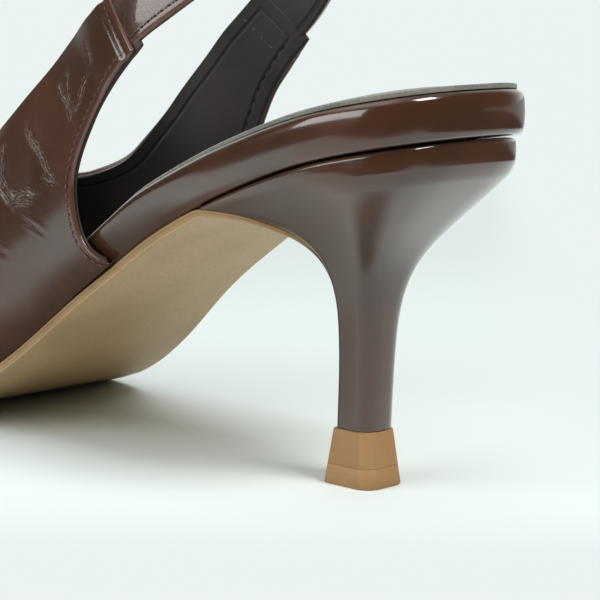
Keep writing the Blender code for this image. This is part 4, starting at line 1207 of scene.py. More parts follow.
class PUMP_OT_upper(bpy.types.Operator):
    """Upper of glazed leather with folded edges, creases, lining and seams"""

    bl_idname = "pump.upper"
    bl_label = "Upper"

    def execute(self, context):
        sizes = context.scene.pump_sizes
        leather = leathers()
        points, faces, first, second, ridge_rows = upper_parts()
        normals = vertex_normals(points, faces)
        if normals[np.argmax(points[:, 1]), 1] < 0:
            faces, normals = faces[:, ::-1], -normals
        rows = len(first)
        foot_rows = rows - WING_ROWS
        loops, rear_gap, end_gap, edge_gap = [], np.inf, np.inf, np.inf
        for index in (first, second):
            top = index[ridge_rows - 1 :, -1]
            end = index[-1, -2::-1]
            rear = index[rows - 2 : foot_rows - 2 : -1, 0]
            foot = index[foot_rows - 2 :: -1, 0]
            loops.append((top, end, rear, foot))
            rear_gap = np.minimum(rear_gap, distance_to_run(points, points[index[foot_rows - 1 :, 0]]) / MM)
            end_gap = np.minimum(end_gap, distance_to_run(points, points[index[-1, :]]) / MM)
            edge_gap = np.minimum(edge_gap, distance_to_run(points, points[top]) / MM)
        edge_gap = np.minimum(edge_gap, np.minimum(rear_gap, end_gap))
        seam = np.minimum(rear_gap - sizes.stitch_margin / MM, end_gap - sizes.end_margin / MM)
        dip, signed, masks = crease_field(points, WING_CREASES, 1)
        dip_other, signed_other, masks_other = crease_field(points, OUTER_CREASES, -1)
        for k in (0, 1):
            signed[k] = np.where(masks_other[k] > masks[k], signed_other[k], signed[k])
            masks[k] = np.maximum(masks[k], masks_other[k]) * sizes.crease_share
        # Outer face: the creases, a slow random swell and the rise over the strap's lap, each
        # faded near the edges by smooth steps
        keep = smooth_step(seam, 0.3, 1.6) * sizes.crease_share
        swell = 0.09 * MM * wander(points, 24 * MM, 3) * smooth_step(edge_gap, 0, 6)
        lap = 0.6 * MM * smooth_step(end_gap, 2.0, 4.3) * (1 - smooth_step(end_gap, 10.0, 18.0))
        outer = points + normals * ((dip + dip_other) * keep + swell + lap)[:, None]
        slope = math.radians(STRAP_LAP_SLOPE)
        back = np.array([-math.cos(slope), 0.0, math.sin(slope)])
        back = unit(back - normals * (normals @ back)[:, None])
        drawn_in = -back * (sizes.lining_tab * (1 - smooth_step(end_gap, 0, 12)))[:, None]
        inner = points - normals * UPPER_WALL
        foot_numbers = np.concatenate([first[:foot_rows, 0], second[:foot_rows, 0]])
        inner[foot_numbers, 2] = under_line(station_of(inner[foot_numbers, 0]))
        count = len(points)
        none = np.zeros(count)
        all_points, all_faces = [outer + drawn_in, inner], [faces, faces[:, ::-1] + count]
        kinds = [np.zeros(len(faces), int), np.ones(len(faces), int)]
        marks = {
            "seam": [seam, edge_gap - LINING_SEAM],
            "fold_a": [signed[0], none + NO_CREASE],
            "fold_b": [signed[1], none + NO_CREASE],
            "mask_a": [masks[0], none],
            "mask_b": [masks[1], none],
        }
        start = 2 * count
        rim = LEATHER_RIM + LINING_RIM
        for parts, index in zip(loops, (first, second)):
            loop = np.concatenate(parts)
            outward, reach = rim_direction(points, normals, index, parts), rim_share(parts)
            line = [loop]
            for wall, out in rim:
                ring = outer[loop] * (1 - wall) + inner[loop] * wall
                ring = ring + outward * (out * MM * reach)[:, None]
                if wall < LEATHER_SHARE:
                    ring = ring + drawn_in[loop]
                all_points.append(ring)
                for name, value in RIM_MARKS.items():
                    marks[name].append(np.full(len(loop), value))
                line.append(np.arange(len(loop)) + start)
                start += len(loop)
            line.append(loop + count)
            made = quads(np.array(line))
            all_faces.append(made[:, ::-1] if index is first else made)
            kind = np.arange(len(rim) + 1) >= len(LEATHER_RIM)
            kind = np.repeat(kind, len(loop) - 1).astype(int).reshape(len(rim) + 1, -1)
            kind[:, : len(parts[0])] *= 2
            kinds.append(kind.reshape(-1))
        piece = make_piece(
            "upper_shell",
            np.concatenate(all_points),
            np.concatenate(all_faces),
            [leather["glazed brown wing"], leather["dark lining"], leather["glossy lining edge"]],
            "upper",
            ("upper",),
            np.concatenate(kinds),
            {name: np.concatenate(values) for name, values in marks.items()},
            sharp=62,
        )
        weld(piece)
        gaps = rear_gap, end_gap
        self.seams(leather, sizes, outer + drawn_in, inner, normals, (first, second), foot_rows, gaps)
        return {"FINISHED"}

    def seams(self, leather, sizes, outer, inner, normals, wings, foot_rows, gaps):
        """Seam lines beside the rear edge and the end of each wing, outside and in the lining."""
        radius, pitch = sizes.thread_radius, sizes.stitch_pitch
        rear_margin, end_margin = sizes.stitch_margin, sizes.end_margin
        end_clear = end_margin + 0.6 * MM
        runs = {"wing_seams": [], "lining_seams": [], "lap_tacks": []}
        holes = []
        for index in wings:
            wing = index[foot_rows - 1 :]
            outside, inside = (outer[wing], normals[wing]), (inner[wing], -normals[wing])
            # Name, face, gap from the edge that it follows, its millimetres off that edge, its
            # distance from the other edge, pitch, stitch length and thread radius
            rows = (
                ("wing_seams", outside, 0, rear_margin / MM, end_clear, pitch, 0.62 * pitch, radius),
                ("wing_seams", outside, 1, end_margin / MM, 0.9 * rear_margin, pitch, 0.62 * pitch, radius),
                ("lining_seams", inside, 0, LINING_SEAM, 3.0 * MM, 1.6 * pitch, 1.0 * pitch, 0.8 * radius),
                ("lap_tacks", inside, 1, TACK_ROW, 4.0 * MM, 3.1 * MM, 1.1 * MM, 0.55 * radius),
            )
            for name, (face, out), edge, off, clear, apart, long, thick in rows:
                grids, other = (face, out, gaps[edge][wing]), (face[-1], face[:, 0])[edge]
                if edge == 1:
                    grids = [grid[::-1].swapaxes(0, 1) for grid in grids]
                line, up = crossing(*grids, off)
                keep = distance_to_run(line, other) > clear
                runs[name].append(seam_from(line[keep], up[keep], apart, long, thick))
                if name == "wing_seams":
                    holes.append(holes_from(line[keep], up[keep], pitch))
        make_piece("wing_seams", *joined(runs["wing_seams"]), [leather["seam thread"]], "upper", sharp=100)
        # Painted shade of the needle holes beside the wing's stitches
        make_piece("wing_stitch_holes", *joined(holes), [leather["dark hole"]], "upper")
        make_piece("lining_seams", *joined(runs["lining_seams"]), [leather["dark thread"]], "upper")
        make_piece("lap_tacks", *joined(runs["lap_tacks"]), [leather["pale thread"]], "upper")


def weld(piece):
    """Drops the points that no face uses and joins those that lie on one another."""
    mesh = bmesh.new()
    mesh.from_mesh(piece.data)
    loose = [v for v in mesh.verts if not v.link_faces]
    bmesh.ops.delete(mesh, geom=loose, context="VERTS")
    bmesh.ops.remove_doubles(mesh, verts=mesh.verts, dist=0.004 * MM)
    bmesh.ops.recalc_face_normals(mesh, faces=mesh.faces)
    mesh.to_mesh(piece.data)
    mesh.free()


def strap_path(count):
    """Middle line of the strap, its outward and upward directions, its width, the length from
    its nearer end, and the wing's camber under its lap.  The line is a smooth curve through
    three knots under the wing, the knots round the ankle and their mirror image; the strap
    leans as the wing does and turns upright past the lap along a cubic."""
    slope = math.radians(STRAP_LAP_SLOPE)
    along = np.array([-math.cos(slope), math.sin(slope)])
    half_across = 0.5 * STRAP_WIDTH * np.array([along[1], -along[0]])
    low_s, low_z = along_edge(REAR_EDGE, np.array([1.0]))
    joint = np.array([float(x_of(low_s[0])), float(low_z[0])]) + half_across
    out = joint + along * 0.5 * STRAP_LAP
    inside = UPPER_WALL * 1.06 + JOIN_GAP + 0.5 * STRAP_THICKNESS

    def wing_half(place):
        """Half width of the wing's outer face at a place in the side view."""
        station = np.array([float(station_of(place[0]))])
        return float(upper_point(station, angle_at(station, place[1]), 1)[0, 1])

    knots = []
    for reach in (-1.0, -0.5, 0.0):
        place = joint + along * STRAP_LAP * reach
        low, high = wing_half(place - half_across), wing_half(place + half_across)
        camber = wing_half(place) - 0.5 * (low + high)
        knots.append((place[0], 0.5 * (low + high) - inside, place[1]))
    lean = (low - high) / STRAP_WIDTH
    back_x = float(x_of(STRAP_BACK_INSET))
    back_z = float(bed_top(np.array([0.0]))[0]) + STRAP_BACK_RISE
    for row in STRAP_KNOTS:
        values = dict(zip(STRAP_COLUMNS, row))
        knots.append(
            (
                back_x + values["ahead"] * (out[0] - back_x),
                values["span"] * STRAP_HALF_SPAN,
                out[1] + values["climb"] * (back_z - out[1]),
            )
        )
    half = np.array(knots)
    whole = np.concatenate([half, half[-2::-1] * (1, -1, 1)])
    length = run_length(whole)
    fine = natural_curve(length, whole, np.linspace(0, length[-1], 1200))
    length = run_length(fine)
    even = np.linspace(0, length[-1], count)
    path = along_run(even, length, fine)
    tangent = unit(np.gradient(path, axis=0))
    from_end = np.minimum(even, even[-1] - even)
    upright = smooth_step(from_end, STRAP_LAP, STRAP_LAP + STRAP_EASE) * (1 - STRAP_BACK_LEAN)
    outward = unit(np.stack([-tangent[:, 1], tangent[:, 0], np.zeros(count)], 1)) * -1
    outward[:, 2] = lean * (1 - upright)
    outward = unit(outward - tangent * np.sum(outward * tangent, axis=1)[:, None])
    up = np.cross(tangent, outward)
    up *= np.sign(up[:, 2])[:, None]
    t = np.linspace(-1, 1, count)
    width = STRAP_BACK_WIDTH + (STRAP_WIDTH - STRAP_BACK_WIDTH) * t**2
    return path, outward, up, width, from_end, camber


class PUMP_OT_strap(bpy.types.Operator):
    """Sling strap: a folded and stitched band round the ankle"""

    bl_idname = "pump.strap"
    bl_label = "Sling strap"

    def execute(self, context):
        sizes = context.scene.pump_sizes
        leather = leathers()
        count, around = 330, 48
        path, outward, up, width, from_end, camber = strap_path(count)
        lap = 1 - smooth_step(from_end, 0.2 * STRAP_LAP, 1.8 * STRAP_LAP)
        near_wing = 1 - smooth_step(from_end, STRAP_LAP, 4.2 * STRAP_LAP)
        path = path + outward * (2.2 * MM * near_wing)[:, None]
        half = 0.5 * STRAP_THICKNESS * (1 - 0.45 * lap)
        # Cross-section: a superellipse, a groove along each seam shaped as a bell curve and a
        # pillow that is a parabola across the band
        turn = 2 * math.pi * np.arange(around) / around
        share = np.sign(np.cos(turn)) * np.abs(np.cos(turn)) ** 0.22 * 0.5
        depth = np.sign(np.sin(turn)) * np.abs(np.sin(turn)) ** 0.5
        edge = (0.5 - np.abs(share))[None, :] * width[:, None]
        groove = np.exp(-(((edge - STRAP_SEAM * MM) / (0.5 * MM)) ** 2))
        pillow = 0.10 * MM * (1 - (2 * share[None, :]) ** 2)
        thick = half[:, None] * depth[None, :] + np.sign(depth)[None, :] * (pillow - 0.14 * MM * groove)
        thick += camber * near_wing[:, None] * (1 - (2 * share[None, :]) ** 2)
        points = (
            path[:, None, :]
            + up[:, None, :] * (share[None, :] * width[:, None])[..., None]
            + outward[:, None, :] * thick[..., None]
        )
        flat = points.reshape(-1, 3)
        shake = 0.05 * MM * wander(flat, 6 * MM, 11)
        flat = flat + (outward[:, None, :] * np.sign(depth)[None, :, None]).reshape(-1, 3) * shake[:, None]
        index = np.arange(count * around).reshape(count, around)
        index = np.concatenate([index, index[:, :1]], 1)
        faces = quads(index)
        caps = []
        for row in (index[0, :around], index[-1, around - 1 :: -1]):
            a = row[: around // 2]
            b = row[around - 1 : around // 2 - 1 : -1]
            caps.append(np.stack([a[:-1], b[:-1], b[1:], a[1:]], 1))
        faces = np.concatenate([faces, *caps])
        inner_side = np.tile(depth < -0.2, count)
        face_kind = (inner_side[faces].sum(1) >= 3).astype(int)
        piece = make_piece(
            "strap_band",
            flat,
            faces,
            [leather["grained brown strap"], leather["dark lining"]],
            "sling_strap",
            ("sling_strap",),
            face_kind,
            {"seam": (edge / MM - STRAP_SEAM).reshape(-1)},
        )
        weld(piece)
        parts, holes = [], []
        keep = from_end > STRAP_LAP * 0.85
        for side in (-1, 1):
            offset = (0.5 * width - STRAP_SEAM * MM) * side
            rise = half - 0.05 * MM + camber * near_wing * (1 - (2 * offset / width) ** 2)
            line = path + up * offset[:, None] + outward * rise[:, None]
            pitch = sizes.strap_pitch
            parts.append(seam_from(line[keep], outward[keep], pitch, 0.6 * pitch, 1.1 * sizes.thread_radius))
            holes.append(holes_from(line[keep], outward[keep], pitch, 0.4 * MM, 0.3 * MM))
        make_piece("strap_seams", *joined(parts), [leather["seam thread"]], "sling_strap", sharp=100)
        # Painted shade of the needle holes beside the strap's stitches
        make_piece("strap_stitch_holes", *joined(holes), [leather["dark hole"]], "sling_strap")
        return {"FINISHED"}


def outline_rows(stations, half, inset):
    """Edge points of a plan outline, pulled in along its normal."""
    rows = []
    inset = np.broadcast_to(np.asarray(inset, float), len(stations))
    for side in (1, -1):
        points = np.stack([x_of(stations), half(stations, side)], 1)
        tangent = np.gradient(points, axis=0)
        for end in (0, -1):
            if points[end, 1] < 0.01 * MM:
                tangent[end] = (0.0, 1.0 if end == 0 else -1.0)
        tangent = unit(tangent)
        normal = np.stack([-tangent[:, 1], tangent[:, 0]], 1)
        moved = points + normal * -inset[:, None]
        moved[:, 1] = np.maximum(moved[:, 1], 0.0)
        rows.append(np.stack([moved[:, 0], side * moved[:, 1]], 1))
    return rows


def ladder(rings):
    """Closed surface of rings of paired rows, joined by rungs at the lowest and highest ring."""
    count = len(rings[0][0])
    points = np.concatenate([np.concatenate([left, right]) for left, right in rings])
    base = np.arange(len(rings) * 2 * count).reshape(len(rings), 2, count)
    faces = [quads(base[:, 0, :])[:, ::-1], quads(base[:, 1, :])]
    for i in (0, count - 1):
        strip = np.stack([base[:, 0, i], base[:, 1, i]], 1)
        faces.append(quads(strip) if i == 0 else quads(strip)[:, ::-1])
    for k in (0, len(rings) - 1):
        rung = np.stack([base[k, 0], base[k, 1]], 0)
        faces.append(quads(rung) if k == 0 else quads(rung)[:, ::-1])
    return points, np.concatenate(faces)


def crowd(start, end, count, crowd_start=True):
    """Stations from start to end, crowded towards the round ends."""
    t = np.linspace(0, 1, count)
    if crowd_start:
        t = 0.85 * 0.5 * (1 - np.cos(math.pi * t)) + 0.15 * t
    else:
        t = 0.8 * np.sin(0.5 * math.pi * t) + 0.2 * t
    return start + (end - start) * t


class PUMP_OT_footbed(bpy.types.Operator):
    """Wrapped footbed with its rolled edge, and the sock that covers it"""

    bl_idname = "pump.footbed"
    bl_label = "Footbed and sock"

    def execute(self, context):
        leather = leathers()
        stations = crowd(0.0, SHOE_LENGTH - BED_TOE_SETBACK, 260)
        share = bed("thickness", stations) * 0.7 + 0.3
        rings = []
        for level, pull in FOOTBED_EDGE:
            inset = pull * FOOTBED_ROLL * share
            rows = outline_rows(stations, lambda s, side: bed_half(s, side, level), inset)
            ring = []
            for row in rows:
                station = station_of(row[:, 0])
                ring.append(np.column_stack([row, under_line(station) + level * bed_thickness(station)]))
            rings.append(ring)
        material = leather["glazed brown wrap"]
        piece = make_piece("footbed_wrap", *ladder(rings), [material], "footbed", ("footbed",), sharp=60)
        weld(piece)
        self.sock(leather)
        return {"FINISHED"}

    def sock(self, leather):
        """Thin cover with a cut edge and a low cushion under the heel."""
        stations = crowd(0.0, SHOE_LENGTH - BED_TOE_SETBACK, 200)
        forward = np.clip(stations / WING_FOOT_STATION, 0, 1)
        inset = SOCK_INSET + (SOCK_FRONT_INSET - SOCK_INSET) * forward**2
        inner, outer = outline_rows(stations, lambda s, side: bed_half(s, side, 1.0), inset)
        across = np.linspace(0, 1, 45)[None, :]
        across = 0.5 - 0.5 * np.cos(math.pi * across) * 0.9 - 0.5 * (1 - 2 * across) * 0.1
        x = inner[:, :1] + (outer[:, :1] - inner[:, :1]) * across
        y = inner[:, 1:] + (outer[:, 1:] - inner[:, 1:]) * across
        station = station_of(x)
        rim = np.minimum(across, 1 - across) * (inner[:, 1:] - outer[:, 1:])
        crown = (1 - (2 * across - 1) ** 2) * np.exp(-(((station - HEEL_PAD_CENTRE) / HEEL_PAD_REACH) ** 4))
        crown = crown * np.clip((inner[:, 1:] - outer[:, 1:]) / (4 * MM), 0, 1)
        base = bed_top(station) + 0.5 * JOIN_GAP
        ends = np.minimum(station, SHOE_LENGTH - BED_TOE_SETBACK - station)
        soft = np.clip(np.minimum(rim, ends - 0.001) / (0.5 * MM), 0, 1)
        top = base + SOCK_THICKNESS * (0.72 + 0.28 * np.sqrt(soft * (2 - soft))) + HEEL_PAD_RISE * crown
        upper = np.stack([x, y, top], -1)
        lower = np.stack([x, y, base], -1)
        rows, cols = x.shape
        index = np.arange(rows * cols).reshape(rows, cols)
        points = np.concatenate([upper.reshape(-1, 3), lower.reshape(-1, 3)])
        rim_loop = np.concatenate([index[:, 0], index[-1, 1:], index[-2::-1, -1], index[0, -2::-1]])
        wall = quads(np.stack([rim_loop, rim_loop + rows * cols]))
        faces = np.concatenate([quads(index)[:, ::-1], quads(index) + rows * cols, wall])
        piece = make_piece("sock_cover", points, faces, [leather["sock suede"]], "sock", ("sock",))
        weld(piece)


def shaft_outline(u):
    """Share of the shaft's half width from its front, 0, to its rear, 1: a flat front whose
    corners narrow in a parabola, and a rear that is a quarter superellipse."""
    front = 1 - 0.16 * np.clip(1 - u / 0.10, 0, 1) ** 2
    rear = np.maximum(1 - np.clip((u - 0.55) / 0.45, 0, 1) ** 2.6, 0) ** (1 / 2.6)
    return front * rear


def seat_outline(u, front_share):
    """Share of the seat's half width from its front to its rear: a sine up to the start of the
    round, then the seat's quarter superellipse."""
    rear_start = 1 - (SEAT_ROUND - SEAT_OVERHANG) / (BREAST_STATION - SEAT_OVERHANG)
    side = front_share + (1 - front_share) * np.sin(0.5 * math.pi * np.clip(u / rear_start, 0, 1))
    t = np.clip((u - rear_start) / (1 - rear_start), 0, 1)
    return side * np.maximum(1 - t**SEAT_POWER, 0) ** (1 / SEAT_POWER)


def heel_table():
    """All rings of the heel as rows: front x and z, rear x and z, two half widths, seat share."""
    foot_z = LIFT_TOP + JOIN_GAP
    rows = [
        (
            SHAFT_LENGTH / 2 - FLAP_THICKNESS - JOIN_GAP,
            foot_z,
            -SHAFT_LENGTH / 2,
            foot_z,
            SHAFT_WIDTH / 2 - 0.1 * MM,
            SHAFT_WIDTH / 2,
            0.0,
        )
    ]
    scale = (HEEL_SETBACK, SEAT_RISE, HEEL_SETBACK, SEAT_RISE, SEAT_WIDTH, SEAT_WIDTH, 1.0)
    rows += [tuple(v * s for v, s in zip(row, scale)) for row in HEEL_RINGS]
    breast_x = float(x_of(BREAST_STATION))
    seat_front = float(under_line(BREAST_STATION)) - JOIN_GAP
    half = float(bed_half(np.array([BREAST_STATION]), 1, 0.0)[0]) - SEAT_OVERHANG * 0.6
    widest = SEAT_WIDTH / 2 - SEAT_OVERHANG
    for back, drop, pull in HEEL_LIP:
        x = breast_x - back * MM
        rear_x = float(x_of(SEAT_OVERHANG)) + pull * MM
        seat_here = float(under_line(station_of(x))) - JOIN_GAP
        seat_rear = float(under_line(station_of(rear_x))) - JOIN_GAP
        front = (x, seat_here - min(drop, seat_here - seat_front))
        rear = (rear_x, seat_rear - drop)
        rows.append((*front, *rear, half - pull * 0.5 * MM, widest - pull * MM, 1.0))
    return np.array(rows)


def heel_rows():
    """The heel's rings from foot to seat, drawn finely through the table and then smoothed."""
    table = heel_table()
    length = np.concatenate([[0], np.cumsum(np.hypot(np.diff(table[:, 2]), np.diff(table[:, 3])) + 0.2 * MM)])
    body = np.linspace(0, length[9], 90)
    at = np.concatenate([body, np.linspace(length[9], length[-1], 34)[1:]])
    values = np.stack([curve(length, table[:, k], at) for k in range(7)], 1)
    for _ in range(26):
        soften(values, 1, 84)
    return values


class PUMP_OT_heel(bpy.types.Operator):
    """Leather-wrapped heel, its stacked lift and its rubber tip"""

    bl_idname = "pump.heel"
    bl_label = "Heel, lift and tip"

    def execute(self, context):
        leather = leathers()
        values = heel_rows()
        u = np.sin(0.5 * math.pi * np.linspace(0, 1, 70)) * 0.75 + np.linspace(0, 1, 70) * 0.25
        u = np.unique(np.concatenate([[0, 0.004, 0.012, 0.03], u[1:]]))
        rings = []
        for front_x, front_z, rear_x, rear_z, front_width, width, seat_share in values:
            x = front_x + (rear_x - front_x) * u
            seat = under_line(station_of(x)) - JOIN_GAP
            chord = seat[0] + (seat[-1] - seat[0]) * u
            z = front_z + (rear_z - front_z) * u + seat_share * (seat - chord)
            outline = (1 - seat_share) * shaft_outline(u) + seat_share * seat_outline(u, front_width / width)
            y = outline * width
            y[0] = min(y[0], front_width)
            rings.append((np.stack([x, y, z], 1), np.stack([x, -y, z], 1)))
        material = leather["glazed brown heel"]
        piece = make_piece("heel_cover", *ladder(rings), [material], "heel", ("heel",), sharp=45)
        weld(piece)
        low = TIP_THICKNESS / MM + 0.22
        heights = (0.0, 0.12, 0.35, low - 0.12, low - 0.04)
        self.slab(leather, "heel_tip_rubber", heights, (0.34, 0.1, 0.0, 0.0, 0.06), "heel_tip")
        top = LIFT_TOP / MM + 0.12
        heights = (low, low + 0.08, top - 0.4, top - 0.12, top)
        self.slab(leather, "heel_lift_stack", heights, (0.06, 0.0, 0.0, 0.1, 0.36), "heel_lift")
        return {"FINISHED"}

    def slab(self, leather, name, heights, insets, stands_for):
        """Flared block: a rounded outline that narrows evenly with its height."""
        rings = []
        heights = np.array(heights) * MM
        for height, inset in zip(heights, insets):
            share = height / LIFT_TOP
            long = TIP_LENGTH + (SHAFT_LENGTH - TIP_LENGTH) * share
            wide = TIP_WIDTH + (SHAFT_WIDTH - TIP_WIDTH) * share
            outline = rounded_outline(long, wide, 0.27 * long, 0.07 * long)
            rings.append(outline * (1 - 2 * inset * MM / TIP_LENGTH))
        rings = np.array(rings)
        count = rings.shape[1]
        levels = [np.column_stack([ring, np.full(count, z)]) for ring, z in zip(rings, heights)]
        points = np.concatenate(levels)
        index = np.arange(len(points)).reshape(len(rings), count)
        index = np.concatenate([index, index[:, :1]], 1)
        faces = [quads(index)[:, ::-1]]
        for row, turned in ((index[0, :count], False), (index[-1, :count], True)):
            a, b = row[: count // 2], row[count - 1 : count // 2 - 1 : -1]
            cap = np.stack([a[:-1], a[1:], b[1:], b[:-1]], 1)
            faces.append(cap[:, ::-1] if turned else cap)
        faces = np.concatenate(faces)
        piece = make_piece(name, points, faces, [leather["tan tip"]], stands_for, (stands_for,))
        weld(piece)


def rounded_outline(length, width, rear_round, front_round):
    """Rounded rectangle, round at the rear corners and crisp at the breast."""
    corners = (
        (-length / 2 + rear_round, -width / 2 + rear_round, rear_round, math.pi),
        (length / 2 - front_round, -width / 2 + front_round, front_round, 1.5 * math.pi),
        (length / 2 - front_round, width / 2 - front_round, front_round, 0.0),
        (-length / 2 + rear_round, width / 2 - rear_round, rear_round, 0.5 * math.pi),
    )
    parts = []
    for cx, cy, radius, start in corners:
        angle = start + 0.5 * math.pi * np.linspace(0, 1, 16)
        parts.append(np.stack([cx + radius * np.cos(angle), cy + radius * np.sin(angle)], 1))
    return np.concatenate(parts)


class PUMP_OT_outsole(bpy.types.Operator):
    """Tan outsole with its grooved edge and the flap down the front of the heel"""

    bl_idname = "pump.outsole"
    bl_label = "Outsole"

    def execute(self, context):
        leather = leathers()
        stations = crowd(BREAST_STATION, SHOE_LENGTH, 260, False)[::-1]
        x, z = x_of(stations), under_line(stations) - JOIN_GAP
        inner, outer = sole_half(stations, 1), sole_half(stations, -1)
        rows = heel_rows()[::-1]
        rows = rows[rows[:, 0] < x[-1] - 0.8 * MM]
        front = rows[:, :2]
        length = run_length(front)
        fine = np.linspace(0, length[-1], 150)
        front = along_run(fine, length, front)
        front_width, widest, seat_share = rows[:, 4], rows[:, 5], rows[:, 6]
        corner = (1 - seat_share) * shaft_outline(0.0) + seat_share * seat_outline(0.0, front_width / widest)
        width = np.interp(fine, length, np.minimum(corner * widest, front_width)) - 0.1 * MM
        normal = unit(np.gradient(front, axis=0))
        front = front + np.stack([-normal[:, 1], normal[:, 0]], 1) * 0.5 * JOIN_GAP
        points = np.concatenate([np.stack([x, z], 1), front])
        turn_at = len(stations) - 1
        # The turn from the waist down the heel's front, rounded by repeated means of neighbours
        widths = np.stack([np.concatenate([inner, width]), np.concatenate([outer, width])], 1)
        for values, rounds in ((points, 6), (widths, 12)):
            for _ in range(rounds):
                soften(values, turn_at - 8, turn_at + 14)
        inner, outer = widths.T
        along = unit(np.gradient(points, axis=0))
        normal = np.stack([-along[:, 1], along[:, 0]], 1)
        length = run_length(points)
        turn = length[turn_at]
        # The leather thins with a power of the way down, and the flap tucks in behind the heel
        down = np.clip((length - turn) / (length[-1] - turn), 0, 1)
        thickness = OUTSOLE_THICKNESS + (FLAP_THICKNESS - OUTSOLE_THICKNESS) * down**0.4
        for _ in range(20):
            soften(thickness, 1, len(thickness) - 1)
        normal[points[:, 0] > float(x_of(LEVEL_SOLE_START * SHOE_LENGTH))] = (0.0, -1.0)
        low = points + normal * thickness[:, None]
        tuck = 0.75 * MM * smooth_step(down, 0.40, 0.60)
        rings = []
        for part, inset in SOLE_EDGE:
            place = points + (low - points) * part
            inset = np.minimum(inset * MM, np.minimum(inner, outer) * 0.5) + tuck
            sides = inner - inset, inset - outer
            rings.append(tuple(np.stack([place[:, 0], across, place[:, 1]], 1) for across in sides))
        mesh_points, faces = ladder(rings)
        rungs = 2 * (len(points) - 1)
        kind = np.ones(len(faces), int)
        kind[-rungs:] = 0
        side_quads = (len(rings) - 1) * (len(points) - 1)
        for start in (0, side_quads):
            end = start + side_quads
            kind[end - SOLE_UNDERSIDE_RINGS * (len(points) - 1) : end] = 0
        marks = {"down": np.tile(down, 2 * len(rings))}
        materials = [leather["tan sole"], leather["tan sole edge"]]
        piece = make_piece(
            "outsole_leather", mesh_points, faces, materials, "outsole", ("outsole",), kind, marks, sharp=50
        )
        weld(piece)
        return {"FINISHED"}


# Lamps: name, place, target, size, power and colour
LAMPS = (
    ("key", (-0.62, -0.05, 0.80), (0.03, 0.0, 0.05), (0.35, 0.35), 7.8, (1.0, 0.985, 0.96)),
    ("window", (0.33, 0.83, 0.38), (0.06, 0.03, 0.12), (1.0, 0.40), 5.0, (0.97, 1.0, 1.0)),
)
# Ceiling right and left of the shoe, as the leather sees it
DIM_CEILING = (0.35, 0.36, 0.36)
BRIGHT_CEILING = (1.35, 1.4, 1.4)
# Painted shadow of the shoe in the floor's mirror image, dark pools: places to the camera's left
# and towards it, half length, half width and darkness
PAINTED_SHADOW_POOLS = ((0.12, -0.035, 0.10, 0.05, 0.88), (0.0, 0.010, 0.022, 0.022, 0.7))
# Half the side of the square floor
FLOOR_REACH = 14.0
# The solved camera: place, yaw and pitch in radians, and focal length in millimetres
CAMERA_PLACE = (-0.30626, 0.32763, 0.11100)
CAMERA_TURN = (-0.7877, -0.1571)
CAMERA_LENS = 127.48


